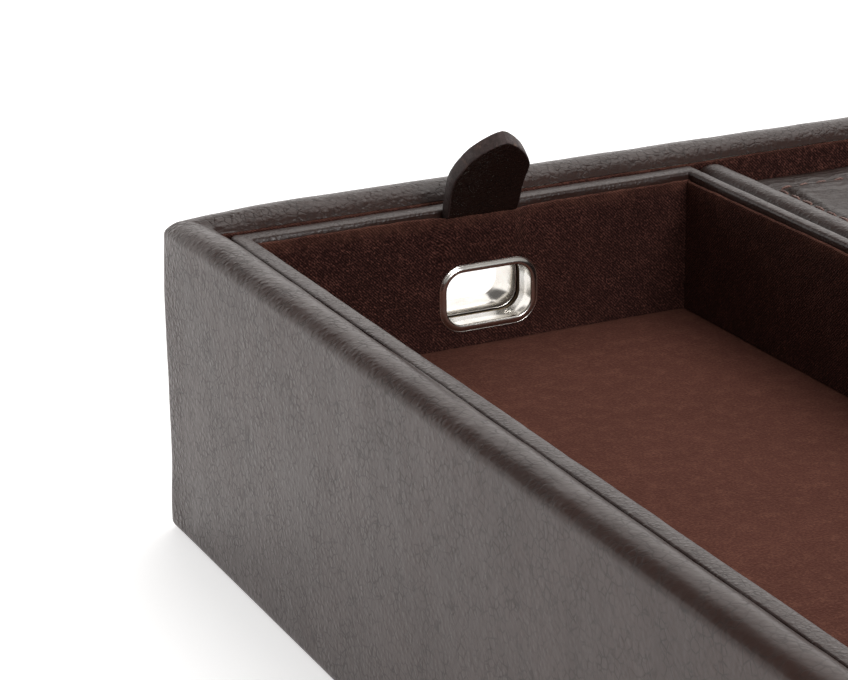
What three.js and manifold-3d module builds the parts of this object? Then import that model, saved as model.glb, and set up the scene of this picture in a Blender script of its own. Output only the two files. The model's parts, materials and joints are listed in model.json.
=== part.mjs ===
// Leather-wrapped valet tray with a lift-out charging insert.
// Millimetres, +Z up, origin at the bottom centre. +X is the long side, +Y the back.
import * as THREE from 'three';
import { mergeVertices } from 'three/addons/utils/BufferGeometryUtils.js';
import Module from 'manifold-3d';

const wasm = await Module();
wasm.setup();

// ---- driving dimensions ------------------------------------------------
const W = 300, D = 240, H = 60;          // outside of the box
const R_CORNER = 3;                      // plan radius of the wrapped corners
const LEATHER = 1.4;                     // outer leather
const GLUE = 0.1;                        // gap between bonded layers
const BOARD = 6.4;                       // wall board
const RIM_IN = 9.4;                      // inner edge of the padded rim
const LINING = 1.0;                      // suede-covered lining panel
const BOARD_TOP = 54.0;                  // top of the wall boards, below the rim padding
const RIM_EDGE_Z = 57.4;                 // where the turned-in leather ends inside
const FLANGE = 14;                       // leather turned under the base
const SKIN_Z = 1.2;                      // thickness of that turn-under and of the base cover
const BASE_T = 4.0;                      // base board

const INS_X0 = -140.3, INS_X1 = -44.5;   // lift-out insert, outside
const INS_Y = 110.3;
const INS_Z0 = 26.6, INS_TOP = 57.3;
const INS_LEATHER = 0.7, INS_WALL = 1.8;
const CARD_TOP = 55.6, CARD = 0.8;       // lining cards of the insert
const FLOOR_Z = 30.1;                    // suede floor of the insert

const DIV_X0 = -44.0, DIV_X1 = -38.2, DIV_TOP = 57.0;

const SLOT_X = -91.0, SLOT_Z = 39.6;     // cable slot centre
const SLOT_W = 17.4, SLOT_H = 10.0, SLOT_R = 3.4;      // clear opening
const FLANGE_W = 20.2, FLANGE_H = 13.0;                // grommet lip
const SLEEVE_T = 0.5;

const TAB_X = -92.75, TAB_HALF = 7.37, TAB_LEN = 20.7, TAB_T = 2.57;
const TAB_ROUND = 1.31, TAB_LEAN = 0.462, TAB_CURL = 0.017;            // lean at the root, curl per mm
const TAB_PIV_Y = 105.4, TAB_PIV_Z = 56.97;

const TRAY_TOP = 53.1;                   // crown of the padded tray floor
const STITCH_IN = 7.9;                   // stitch line in from the pad's edge

// ---- helpers -----------------------------------------------------------
function solid(geometry) {
  const g = geometry.index ? geometry.toNonIndexed() : geometry.clone();
  g.deleteAttribute('normal'); g.deleteAttribute('uv');
  const m = mergeVertices(g, 1e-4);
  const idx = m.index.array, keep = [];
  for (let i = 0; i < idx.length; i += 3) {
    const a = idx[i], b = idx[i + 1], c = idx[i + 2];
    if (a !== b && b !== c && a !== c) keep.push(a, b, c);
  }
  return new wasm.Manifold(new wasm.Mesh({
    numProp: 3,
    vertProperties: new Float32Array(m.attributes.position.array),
    triVerts: new Uint32Array(keep),
  }));
}
function geometryOf(s) {
  const m = s.getMesh();
  const g = new THREE.BufferGeometry();
  const n = m.numProp, pos = new Float32Array(m.vertProperties.length / n * 3);
  for (let i = 0; i < pos.length / 3; i++) for (let k = 0; k < 3; k++) pos[3 * i + k] = m.vertProperties[n * i + k];
  g.setAttribute('position', new THREE.BufferAttribute(pos, 3));
  g.setIndex(new THREE.BufferAttribute(new Uint32Array(m.triVerts), 1));
  g.computeVertexNormals();
  return g;
}
function shapeOf(pts) {
  return new THREE.Shape(pts.map(([a, b]) => new THREE.Vector2(a, b)));
}
function extrude(shape, depth, segs = 4) {
  return new THREE.ExtrudeGeometry(shape, { depth, bevelEnabled: false, steps: 1, curveSegments: segs });
}
// profile (y,z) run along X
function prismX(pts, x0, x1) {
  const g = extrude(shapeOf(pts), x1 - x0);
  g.applyMatrix4(new THREE.Matrix4().set(0, 0, 1, x0, 1, 0, 0, 0, 0, 1, 0, 0, 0, 0, 0, 1));
  return solid(g);
}
// profile (x,z) run along Y
function prismY(shape, y0, y1, segs = 4) {
  const g = extrude(Array.isArray(shape) ? shapeOf(shape) : shape, y1 - y0, segs);
  g.applyMatrix4(new THREE.Matrix4().set(1, 0, 0, 0, 0, 0, -1, y1, 0, 1, 0, 0, 0, 0, 0, 1));
  return solid(g);
}
// profile (x,y) run along Z
function prismZ(shape, z0, z1, segs = 4) {
  const g = extrude(Array.isArray(shape) ? shapeOf(shape) : shape, z1 - z0, segs);
  g.translate(0, 0, z0);
  return solid(g);
}
function roundRect(cx, cy, w, h, r) {
  const s = new THREE.Shape(), a = w / 2, b = h / 2;
  s.moveTo(cx - a + r, cy - b);
  s.lineTo(cx + a - r, cy - b);
  s.absarc(cx + a - r, cy - b + r, r, -Math.PI / 2, 0, false);
  s.lineTo(cx + a, cy + b - r);
  s.absarc(cx + a - r, cy + b - r, r, 0, Math.PI / 2, false);
  s.lineTo(cx - a + r, cy + b);
  s.absarc(cx - a + r, cy + b - r, r, Math.PI / 2, Math.PI, false);
  s.lineTo(cx - a, cy - b + r);
  s.absarc(cx - a + r, cy - b + r, r, Math.PI, Math.PI * 1.5, false);
  return s;
}
function boxSolid(x0, x1, y0, y1, z0, z1) {
  const g = new THREE.BoxGeometry(x1 - x0, y1 - y0, z1 - z0);
  g.translate((x0 + x1) / 2, (y0 + y1) / 2, (z0 + z1) / 2);
  return solid(g);
}
// A body whose rectangle at height z is the plan inset by u(z): prof is a list of [u, z] from bottom to top.
function envelope(prof, x0, x1, y0, y1, r) {
  const side = (a, b) => [...prof.map(([u, z]) => [b - u, z]), ...prof.slice().reverse().map(([u, z]) => [a + u, z])];
  const px = prismX(side(y0, y1), x0 - 5, x1 + 5);
  const py = prismY(side(x0, x1), y0 - 5, y1 + 5);
  let e = px.intersect(py);
  if (r > 0) {
    const z0 = prof[0][1] - 1, z1 = prof[prof.length - 1][1] + 1;
    e = e.intersect(prismZ(roundRect((x0 + x1) / 2, (y0 + y1) / 2, x1 - x0, y1 - y0, r), z0, z1, 4));
  }
  return e;
}
const slotShape = (grow) => roundRect(SLOT_X, SLOT_Z, SLOT_W + 2 * grow, SLOT_H + 2 * grow, SLOT_R + grow);

// ---- materials ---------------------------------------------------------
const mat = (color, roughness, metalness = 0) => new THREE.MeshStandardMaterial({ color, roughness, metalness });
const LEATHER_M = mat(0x3b332f, 0.55), SUEDE_M = mat(0x4b2d26, 0.95), BOARD_M = mat(0xa88660, 0.85);
const FOAM_M = mat(0x8f8c86, 0.95), CARDB_M = mat(0x6d655c, 0.9), NICKEL_M = mat(0xd8d6d0, 0.15, 1.0);
const THREAD_M = mat(0x8a5a4a, 0.8), FELT_M = mat(0x2a211e, 0.95);

const group = new THREE.Group();
function add(parent, name, geometry, material) {
  const mesh = new THREE.Mesh(geometry, material);
  mesh.name = name;
  parent.add(mesh);
  return mesh;
}
function slab(parent, name, x0, x1, y0, y1, z0, z1, material) {
  const m = add(parent, name, new THREE.BoxGeometry(x1 - x0, y1 - y0, z1 - z0), material);
  m.position.set((x0 + x1) / 2, (y0 + y1) / 2, (z0 + z1) / 2);
  return m;
}
const made = (parent, name, s, material) => add(parent, name, geometryOf(s), material);

const X0 = -W / 2, X1 = W / 2, Y0 = -D / 2, Y1 = D / 2;
const boxGroup = new THREE.Group(), insertGroup = new THREE.Group(), tabGroup = new THREE.Group();
group.add(boxGroup, insertGroup, tabGroup);

// ======================= box ============================================
// Outer leather: outside skin, half-round rim, turned in 2.6 mm inside and 14 mm under the base.
{
  const outer = envelope([[1.5, 0], [0.45, 0.45], [0, 1.5], [0, 56.9], [0.39, 58.4], [1.4, 59.4], [2.6, 59.85], [4.2, 60]],
    X0, X1, Y0, Y1, R_CORNER);
  const core = envelope([[LEATHER, SKIN_Z], [LEATHER, 55.6], [1.6, 56.4], [2.25, 57.35], [3.35, 58.2], [4.9, 58.6]],
    X0, X1, Y0, Y1, 0).intersect(prismZ(roundRect(0, 0, W - 2 * LEATHER, D - 2 * LEATHER, R_CORNER - LEATHER), 0, 61, 4));
  // the part of the rim that stays solid inside the core: the turned-in lip, above the lining
  const lipOuter = envelope([[8.0, RIM_EDGE_Z], [7.1, 58.25], [6.1, 58.6], [6.0, 61]].map(([u, z]) => [u, z]), X0, X1, Y0, Y1, 0);
  const keep = boxSolid(X0, X1, Y0, Y1, RIM_EDGE_Z, 61).intersect(lipOuter);
  const hole = envelope([[RIM_IN, SKIN_Z], [RIM_IN, RIM_EDGE_Z], [8.9, 58.4], [7.9, 59.3], [6.6, 59.8], [5.2, 60], [5.2, 62]], X0, X1, Y0, Y1, 0);
  const under = boxSolid(X0 + FLANGE, X1 - FLANGE, Y0 + FLANGE, Y1 - FLANGE, -1, SKIN_Z + 0.5);
  let s = outer.subtract(core.subtract(keep)).subtract(hole).subtract(under);
  // cable slot with a shallow seat for the grommet lip
  s = s.subtract(prismY(slotShape(SLEEVE_T + 0.1), Y1 - 5, Y1 + 5));
  s = s.subtract(prismY(roundRect(SLOT_X, SLOT_Z, FLANGE_W + 0.3, FLANGE_H + 0.3, 4.95), Y1 - 0.7, Y1 + 5));
  made(boxGroup, 'outer_leather', s, LEATHER_M);
}
// Rim padding on top of each wall board, mitred at the corners.
{
  const zb = BOARD_TOP + GLUE;
  const o = envelope([[1.5, zb], [1.5, 55.6], [1.7, 56.4], [2.35, 57.3], [3.45, 58.1], [5.0, 58.5]], X0, X1, Y0, Y1, 0)
    .intersect(prismZ(roundRect(0, 0, W - 3.0, D - 3.0, 1.5), 0, 61, 4));
  const i = envelope([[7.9, zb - 1], [7.9, 57.4], [7.0, 58.15], [6.0, 58.5], [6.0, 61]], X0, X1, Y0, Y1, 0);
  const ring = o.subtract(i);
  const k = 20, g = 0.07;
  const wedge = {
    rim_padding_back: [[X0 + g, Y1 + 0], [X0 + g + k, Y1 - k], [X1 - g - k, Y1 - k], [X1 - g, Y1]],
    rim_padding_front: [[X0 + g, Y0], [X1 - g, Y0], [X1 - g - k, Y0 + k], [X0 + g + k, Y0 + k]],
    rim_padding_left: [[X0, Y0 + g], [X0 + k, Y0 + g + k], [X0 + k, Y1 - g - k], [X0, Y1 - g]],
    rim_padding_right: [[X1, Y0 + g], [X1, Y1 - g], [X1 - k, Y1 - g - k], [X1 - k, Y0 + g + k]],
  };
  for (const [name, pts] of Object.entries(wedge)) {
    const area = THREE.ShapeUtils.area(pts.map(([a, b]) => new THREE.Vector2(a, b)));
    made(boxGroup, name, ring.intersect(prismZ(area < 0 ? pts.slice().reverse() : pts, 50, 62)), FOAM_M);
  }
}
// Wall boards.
const WB = LEATHER + GLUE;                       // 1.5, outer face of the boards
const WI = WB + BOARD;                           // 7.9, inner face of the boards
const ZB = SKIN_Z + GLUE;                        // 1.3, bottom of the boards
{
  const plan = prismZ(roundRect(0, 0, W - 2 * WB, D - 2 * WB, 1.5), ZB, BOARD_TOP, 3);
  const back = plan.intersect(boxSolid(X0, X1, Y1 - WI, Y1, 0, 60)).subtract(prismY(slotShape(SLEEVE_T + 0.1), Y1 - 20, Y1 + 5));
  made(boxGroup, 'back_wall_board', back, BOARD_M);
  made(boxGroup, 'front_wall_board', plan.intersect(boxSolid(X0, X1, Y0, Y0 + WI, 0, 60)), BOARD_M);
  slab(boxGroup, 'left_wall_board', X0 + WB, X0 + WI, Y0 + WI + GLUE, Y1 - WI - GLUE, ZB, BOARD_TOP, BOARD_M);
  slab(boxGroup, 'right_wall_board', X1 - WI, X1 - WB, Y0 + WI + GLUE, Y1 - WI - GLUE, ZB, BOARD_TOP, BOARD_M);
}
const BI = WI + GLUE;                            // 8.0, inside the boards
const BASE_TOP = ZB + BASE_T;                    // 5.3
slab(boxGroup, 'base_board', X0 + BI, X1 - BI, Y0 + BI, Y1 - BI, ZB, BASE_TOP, BOARD_M);
slab(boxGroup, 'base_cover', X0 + FLANGE + 0.3, X1 - FLANGE - 0.3, Y0 + FLANGE + 0.3, Y1 - FLANGE - 0.3, 0, SKIN_Z, FELT_M);
// Suede lining panels of the box walls.
const LZ0 = BASE_TOP + GLUE, LZ1 = RIM_EDGE_Z - GLUE;   // 5.4 .. 57.3
const LI = BI + LINING;                          // 9.0
{
  const back = boxSolid(X0 + BI, X1 - BI, Y1 - LI, Y1 - BI, LZ0, LZ1)
    .subtract(prismY(slotShape(SLEEVE_T + 0.1), Y1 - 20, Y1 + 5));
  made(boxGroup, 'lining_back', back, SUEDE_M);
}
slab(boxGroup, 'lining_front', X0 + BI, X1 - BI, Y0 + BI, Y0 + LI, LZ0, LZ1, SUEDE_M);
slab(boxGroup, 'lining_left', X0 + BI, X0 + LI, Y0 + LI + GLUE, Y1 - LI - GLUE, LZ0, LZ1, SUEDE_M);
slab(boxGroup, 'lining_right', X1 - LI, X1 - BI, Y0 + LI + GLUE, Y1 - LI - GLUE, LZ0, LZ1, SUEDE_M);
const YI = Y1 - LI - GLUE;                       // 110.9, inside the lining
slab(boxGroup, 'well_floor_lining', X0 + LI + GLUE, DIV_X0 - GLUE, -YI, YI, LZ0, LZ0 + 0.8, SUEDE_M);
// Divider.
slab(boxGroup, 'divider_board', DIV_X0 + 1.0, DIV_X1 - 1.0, -YI, YI, LZ0, 55.0, BOARD_M);
{
  const c = (DIV_X0 + DIV_X1) / 2;
  const s = prismY([[DIV_X0, 6.3], [DIV_X0 + 0.9, 6.3], [DIV_X0 + 0.9, 55.1], [c - 1.0, 56.0], [c + 1.0, 56.0], [DIV_X1 - 0.9, 55.1],
    [DIV_X1 - 0.9, 6.3], [DIV_X1, 6.3], [DIV_X1, 54.9], [DIV_X1 - 0.35, 56.0], [DIV_X1 - 1.3, 56.8], [c, DIV_TOP],
    [DIV_X0 + 1.3, 56.8], [DIV_X0 + 0.35, 56.0], [DIV_X0, 54.9]], -YI, YI);
  made(boxGroup, 'divider_leather', s, LEATHER_M);
}
// Suede-covered ledges that carry the insert.
slab(boxGroup, 'ledge_left', X0 + LI + GLUE, X0 + LI + GLUE + 8, -YI, YI, 6.3, INS_Z0 - 0.1, SUEDE_M);
slab(boxGroup, 'ledge_right', DIV_X0 - 8.1, DIV_X0 - 0.1, -YI, YI, 6.3, INS_Z0 - 0.1, SUEDE_M);
// Raised tray: rails, board, card, foam, padded leather, thread.
const TX0 = DIV_X1 + 0.1, TX1 = X1 - LI - GLUE;
slab(boxGroup, 'tray_rail_left', TX0, TX0 + 10, -YI, YI, LZ0, 43.4, BOARD_M);
slab(boxGroup, 'tray_rail_middle', 46, 56, -YI, YI, LZ0, 43.4, BOARD_M);
slab(boxGroup, 'tray_rail_right', TX1 - 10, TX1, -YI, YI, LZ0, 43.4, BOARD_M);
slab(boxGroup, 'tray_board', TX0, TX1, -YI, YI, 43.5, 46.5, BOARD_M);
slab(boxGroup, 'pad_backing_card', TX0 + 1.1, TX1 - 1.1, -YI + 1.1, YI - 1.1, 46.6, 48.1, CARDB_M);
slab(boxGroup, 'pad_foam', TX0 + 1.1, TX1 - 1.1, -YI + 1.1, YI - 1.1, 48.2, 51.0, FOAM_M);
{
  const top = [[0, 46.6], [0, 51.6], [1.2, 52.4], [4.0, 52.95], [6.6, TRAY_TOP]];
  let s = envelope(top, TX0, TX1, -YI, YI, 0).subtract(boxSolid(TX0 + 1, TX1 - 1, -YI + 1, YI - 1, 40, 51.1));
  const groove = (a, b) => boxSolid(TX0 + a, TX1 - a, -YI + a, YI - a, 52.6, 54).subtract(boxSolid(TX0 + b, TX1 - b, -YI + b, YI - b, 50, 56));
  s = s.subtract(groove(STITCH_IN - 0.6, STITCH_IN + 0.6));
  made(boxGroup, 'pad_leather', s, LEATHER_M);
  const t = boxSolid(TX0 + STITCH_IN - 0.35, TX1 - STITCH_IN + 0.35, -YI + STITCH_IN - 0.35, YI - STITCH_IN + 0.35, 52.7, 53.05)
    .subtract(boxSolid(TX0 + STITCH_IN + 0.35, TX1 - STITCH_IN - 0.35, -YI + STITCH_IN + 0.35, YI - STITCH_IN - 0.35, 50, 56));
  made(boxGroup, 'pad_stitching', t, THREAD_M);
}
// Grommets: a rolled oblong sleeve with a thin lip.
function grommet(yLip0, yLip1, y0, y1) {
  const sleeve = prismY(slotShape(SLEEVE_T), y0, y1, 5);
  const lip = prismY(roundRect(SLOT_X, SLOT_Z, FLANGE_W, FLANGE_H, 4.8), yLip0, yLip1, 5);
  return sleeve.add(lip).subtract(prismY(slotShape(0), Math.min(y0, yLip0) - 5, Math.max(y1, yLip1) + 5, 5));
}
made(boxGroup, 'box_slot_grommet', grommet(Y1 - 0.6, Y1, Y1 - 5.8, Y1), NICKEL_M);

// ======================= lift-out insert ================================
const IY0 = -INS_Y, IY1 = INS_Y;
{
  const outer = envelope([[0.6, INS_Z0], [0, 27.4], [0, 55.6], [0.3, 56.6], [1.0, 57.2], [1.5, INS_TOP]], INS_X0, INS_X1, IY0, IY1, 1.5);
  const core = envelope([[INS_LEATHER, 27.3], [INS_LEATHER, 55.6], [1.1, 56.4], [1.5, 56.6]], INS_X0, INS_X1, IY0, IY1, 0);
  const lip = envelope([[2.6, 46], [2.6, 55.7], [2.25, 56.3], [1.95, 56.6], [1.95, 58]], INS_X0, INS_X1, IY0, IY1, 0);
  const hole = envelope([[3.3, 27.3], [3.3, 55.6], [3.05, 56.5], [2.4, 57.15], [1.9, INS_TOP], [1.9, 58]], INS_X0, INS_X1, IY0, IY1, 0);
  const under = boxSolid(INS_X0 + 10, INS_X1 - 10, IY0 + 10, IY1 - 10, 20, 27.6);
  const s = outer.subtract(core.subtract(lip)).subtract(hole).subtract(under)
    .subtract(prismY(slotShape(SLEEVE_T + 0.1), IY1 - 10, IY1 + 5));
  made(insertGroup, 'insert_leather', s, LEATHER_M);
}
const IB = INS_LEATHER + 0.1, IBI = IB + 1.7;    // 0.8, 2.5
{
  const back = boxSolid(INS_X0 + IB, INS_X1 - IB, IY1 - IBI, IY1 - IB, 27.4, 55.5)
    .subtract(prismY(slotShape(SLEEVE_T + 0.1), IY1 - 10, IY1 + 5));
  made(insertGroup, 'insert_wall_back', back, BOARD_M);
}
slab(insertGroup, 'insert_wall_front', INS_X0 + IB, INS_X1 - IB, IY0 + IB, IY0 + IBI, 27.4, 55.5, BOARD_M);
slab(insertGroup, 'insert_wall_left', INS_X0 + IB, INS_X0 + IBI, IY0 + IBI + 0.1, IY1 - IBI - 0.1, 27.4, 55.5, BOARD_M);
slab(insertGroup, 'insert_wall_right', INS_X1 - IBI, INS_X1 - IB, IY0 + IBI + 0.1, IY1 - IBI - 0.1, 27.4, 55.5, BOARD_M);
slab(insertGroup, 'insert_base_board', INS_X0 + 2.6, INS_X1 - 2.6, IY0 + 2.6, IY1 - 2.6, 27.4, 29.0, BOARD_M);
slab(insertGroup, 'insert_bottom_cover', INS_X0 + 10.3, INS_X1 - 10.3, IY0 + 10.3, IY1 - 10.3, INS_Z0, 27.3, FELT_M);
const CI = 3.4;                                  // back of the lining cards
slab(insertGroup, 'insert_floor_card', INS_X0 + CI, INS_X1 - CI, IY0 + CI, IY1 - CI, 29.1, FLOOR_Z, SUEDE_M);
// Suede-covered lining cards; the back one swells over the root of the pull tab.
{
  const y1 = IY1 - CI, y0 = y1 - CARD;
  let s = boxSolid(INS_X0 + CI, INS_X1 - CI, y0, y1, FLOOR_Z + 0.1, CARD_TOP);
  const bump = prismX([[y1 - 0.2, 47.2], [y1 - 0.2, CARD_TOP], [y0 - 1.35, CARD_TOP], [y0 - 1.35, 49.6], [y0, 47.2]], TAB_X - 9, TAB_X + 9);
  s = s.add(bump).subtract(boxSolid(TAB_X - 7.7, TAB_X + 7.7, y1 - 1.35, y1 + 1, 49.4, 60));
  s = s.subtract(prismY(slotShape(SLEEVE_T + 0.1), IY1 - 10, IY1 + 5));
  made(insertGroup, 'insert_card_back', s, SUEDE_M);
  slab(insertGroup, 'insert_card_front', INS_X0 + CI, INS_X1 - CI, -y1, -y0, FLOOR_Z + 0.1, CARD_TOP, SUEDE_M);
  slab(insertGroup, 'insert_card_left', INS_X0 + CI, INS_X0 + CI + CARD, -y0 + 0.1, y0 - 0.1, FLOOR_Z + 0.1, CARD_TOP, SUEDE_M);
  slab(insertGroup, 'insert_card_right', INS_X1 - CI - CARD, INS_X1 - CI, -y0 + 0.1, y0 - 0.1, FLOOR_Z + 0.1, CARD_TOP, SUEDE_M);
  slab(insertGroup, 'pull_tab_root', TAB_X - 7.4, TAB_X + 7.4, y1 - 1.25, y1 - 0.05, 49.7, 55.3, LEATHER_M);
  made(insertGroup, 'insert_slot_grommet', grommet(y0 - 0.7, y0 - 0.1, y0 - 0.7, IY1), NICKEL_M);
}

// ======================= pull tab =======================================
{
  const N = 9, mid = [], nrm = [];
  let y = TAB_PIV_Y, z = TAB_PIV_Z, s0 = 1.0;
  const step = (TAB_LEN - s0) / N;
  for (let i = 0; i <= N; i++) {
    const phi = TAB_LEAN + TAB_CURL * (s0 + i * step);
    mid.push([y, z]); nrm.push([Math.cos(phi), Math.sin(phi)]);
    y += -Math.sin(phi + TAB_CURL * step / 2) * step; z += Math.cos(phi + TAB_CURL * step / 2) * step;
  }
  const t = TAB_T / 2;
  const front = mid.map(([a, b], i) => [a - nrm[i][0] * t, b - nrm[i][1] * t]);
  const back = mid.map(([a, b], i) => [a + nrm[i][0] * t, b + nrm[i][1] * t]);
  const root = [];
  const a0 = Math.atan2(-nrm[0][1], -nrm[0][0]);             // round the root about the pivot
  for (let k = 1; k < 6; k++) { const a = a0 + Math.PI * k / 6; root.push([mid[0][0] + t * Math.cos(a), mid[0][1] + t * Math.sin(a)]); }
  let prof = [...front.slice().reverse(), ...root, ...back];
  if (THREE.ShapeUtils.area(prof.map(([a, b]) => new THREE.Vector2(a, b))) < 0) prof = prof.reverse();
  const strip = prismX(prof, TAB_X - 12, TAB_X + 12);
  // outline seen from the front: parallel sides, then a rounded end, slightly skewed
  const height = (s) => { let zz = TAB_PIV_Z, ss = 1.0; const d = 0.1; for (; ss < s; ss += d) zz += Math.cos(TAB_LEAN + TAB_CURL * ss) * d; return zz; };
  const endLen = 1.186 * TAB_HALF, e = TAB_LEN - endLen, psi = -0.099, pat = [];
  pat.push([TAB_HALF + 0.35, -3], [TAB_HALF + 0.1, 3], [TAB_HALF, e]);
  for (let k = 1; k < 12; k++) {
    const w = Math.PI * k / 12, c = Math.cos(w);
    pat.push([TAB_HALF * Math.sign(c) * Math.abs(c) ** (2 / TAB_ROUND), e + endLen * Math.abs(Math.sin(w)) ** (2 / TAB_ROUND)]);
  }
  pat.push([-TAB_HALF, e], [-TAB_HALF - 0.1, 3], [-TAB_HALF - 0.35, -3]);
  const outline = pat.map(([u, s]) => {
    const cu = u * Math.cos(psi) + s * Math.sin(psi), cs = -u * Math.sin(psi) + s * Math.cos(psi);
    return [TAB_X + cu, cs < 1 ? TAB_PIV_Z + (cs - 1) : height(cs)];
  });
  made(tabGroup, 'pull_tab', strip.intersect(prismY(outline, 80, 112)), LEATHER_M);
}

export default group;
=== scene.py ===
import bpy, bmesh, math, json
import numpy as np
from mathutils import Vector, Matrix


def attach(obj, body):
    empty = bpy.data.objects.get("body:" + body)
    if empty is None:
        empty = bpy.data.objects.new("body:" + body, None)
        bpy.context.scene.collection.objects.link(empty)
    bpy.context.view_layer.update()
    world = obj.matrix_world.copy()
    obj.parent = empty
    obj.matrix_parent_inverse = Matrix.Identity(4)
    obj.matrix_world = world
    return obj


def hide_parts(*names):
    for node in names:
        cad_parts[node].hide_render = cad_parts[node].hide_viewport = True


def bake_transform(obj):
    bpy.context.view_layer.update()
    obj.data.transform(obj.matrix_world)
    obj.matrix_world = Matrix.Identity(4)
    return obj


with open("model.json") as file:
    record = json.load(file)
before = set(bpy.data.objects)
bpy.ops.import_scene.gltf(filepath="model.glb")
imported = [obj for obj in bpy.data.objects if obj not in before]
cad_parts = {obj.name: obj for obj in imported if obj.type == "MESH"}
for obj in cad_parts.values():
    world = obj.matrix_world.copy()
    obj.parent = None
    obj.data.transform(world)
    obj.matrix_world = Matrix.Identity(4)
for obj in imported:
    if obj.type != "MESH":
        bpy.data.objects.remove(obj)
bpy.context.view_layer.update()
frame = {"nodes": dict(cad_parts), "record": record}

NODES = frame["nodes"]
MM = 0.001

# ------------------------------------------------------------------ dimensions (mm, row frame)
X0, X1, Y0, Y1 = -150.0, 150.0, -120.0, 120.0
INS_X0, INS_X1, INS_Y = -140.3, -44.5, 110.3
YI = 110.9
DIV_X0, DIV_X1 = -44.0, -38.2
SLOT_X, SLOT_Z = -91.0, 39.6
SLOT_W, SLOT_H, SLOT_R = 17.4, 10.0, 3.4
TX0, TX1 = -38.1, 140.9
STITCH_IN = 7.9


# ------------------------------------------------------------------ numeric helpers
def _hash(ix, iy, iz, seed):
    n = (ix * 374761393 + iy * 668265263 + iz * 1440662683 + seed * 974711 + 1013904223) & 0xffffffff
    n = ((n ^ (n >> 13)) * 1274126177) & 0xffffffff
    n = ((n ^ (n >> 16)) * 668265263) & 0xffffffff
    return ((n >> 8) & 0xffff) / 65535.0


def vnoise(P, size, seed=0):
    """smooth value noise, -1..1, P is (..., 3) in mm"""
    P = np.asarray(P, float)
    Q = P / np.asarray(size, float)
    I = np.floor(Q).astype(np.int64)
    f = Q - I
    f = f * f * f * (f * (f * 6 - 15) + 10)
    out = 0
    for dx in (0, 1):
        for dy in (0, 1):
            for dz in (0, 1):
                w = (f[..., 0] if dx else 1 - f[..., 0]) * (f[..., 1] if dy else 1 - f[..., 1]) * (f[..., 2] if dz else 1 - f[..., 2])
                out = out + w * _hash(I[..., 0] + dx, I[..., 1] + dy, I[..., 2] + dz, seed)
    return out * 2 - 1


def sstep(a, b, x):
    t = np.clip((np.asarray(x, float) - a) / (b - a), 0, 1)
    return t * t * (3 - 2 * t)


def grid_normals(P, ci, cj):
    def diff(A, ax, closed):
        if closed:
            return np.roll(A, -1, ax) - np.roll(A, 1, ax)
        return np.gradient(A, axis=ax)
    n = np.cross(diff(P, 0, ci), diff(P, 1, cj))
    return n / (np.linalg.norm(n, axis=-1, keepdims=True) + 1e-12)


def grid_faces(ni, nj, ci, cj, off=0):
    ii = np.arange(ni if ci else ni - 1)
    jj = np.arange(nj if cj else nj - 1)
    I, J = np.meshgrid(ii, jj, indexing="ij")
    a = I * nj + J
    b = I * nj + (J + 1) % nj
    c = ((I + 1) % ni) * nj + (J + 1) % nj
    d = ((I + 1) % ni) * nj + J
    return (np.stack([a, b, c, d], -1).reshape(-1, 4) + off)


def make_mesh(name, verts_mm, faces, smooth=True):
    """verts in mm; faces an (n,4) array or a list; turned so the faces point out"""
    verts = np.asarray(verts_mm, float).reshape(-1, 3) * MM
    me = bpy.data.meshes.new(name)
    fl = faces.tolist() if isinstance(faces, np.ndarray) else [list(map(int, f)) for f in faces]
    me.from_pydata(verts.tolist(), [], fl)
    me.validate(clean_customdata=False)
    me.update()
    bm = bmesh.new()
    bm.from_mesh(me)
    if bm.calc_volume(signed=True) < 0:
        bmesh.ops.reverse_faces(bm, faces=bm.faces)
    bm.to_mesh(me)
    bm.free()
    if smooth:
        me.polygons.foreach_set("use_smooth", [True] * len(me.polygons))
    ob = bpy.data.objects.new(name, me)
    bpy.context.scene.collection.objects.link(ob)
    return ob


def stack_mesh(parts):
    V, F, off = [], [], 0
    for v, f in parts:
        v = np.asarray(v, float).reshape(-1, 3)
        V.append(v)
        F += [[int(k) + off for k in q] for q in f]
        off += len(v)
    return np.concatenate(V), F


def apply_mods(ob):
    dg = bpy.context.evaluated_depsgraph_get()
    dg.update()
    me = bpy.data.meshes.new_from_object(ob.evaluated_get(dg), preserve_all_data_layers=True, depsgraph=dg)
    old = ob.data
    ob.modifiers.clear()
    ob.data = me
    me.name = ob.name
    bpy.data.meshes.remove(old)


def bevel(ob, width_mm, segs=3, angle=40):
    m = ob.modifiers.new("bevel", "BEVEL")
    m.width = width_mm * MM
    m.segments = segs
    m.limit_method = "ANGLE"
    m.angle_limit = math.radians(angle)
    m.harden_normals = False
    apply_mods(ob)


def cut(ob, cutter):
    m = ob.modifiers.new("cut", "BOOLEAN")
    m.operation = "DIFFERENCE"
    m.solver = "EXACT"
    m.object = cutter
    apply_mods(ob)
    me = cutter.data
    bpy.data.objects.remove(cutter)
    bpy.data.meshes.remove(me)


def auto_smooth(ob, deg=35):
    """smooth faces, with edges sharper than deg kept crisp"""
    me = ob.data
    me.polygons.foreach_set("use_smooth", [True] * len(me.polygons))
    bm = bmesh.new()
    bm.from_mesh(me)
    lim = math.radians(deg)
    for e in bm.edges:
        if len(e.link_faces) == 2:
            e.smooth = e.calc_face_angle(0.0) < lim
    bm.to_mesh(me)
    bm.free()


def oblong(w, h, r, n=14, per=4):
    """points of a rounded rectangle in (x, z) about the slot centre, anticlockwise"""
    pts = []
    a, b = w / 2, h / 2
    for cx, cz, a0 in ((a - r, -b + r, -90), (a - r, b - r, 0), (-a + r, b - r, 90), (-a + r, -b + r, 180)):
        for k in range(n + 1):
            t = math.radians(a0 + 90 * k / n)
            pts.append((cx + r * math.cos(t), cz + r * math.sin(t)))
    return np.array(pts)


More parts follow.
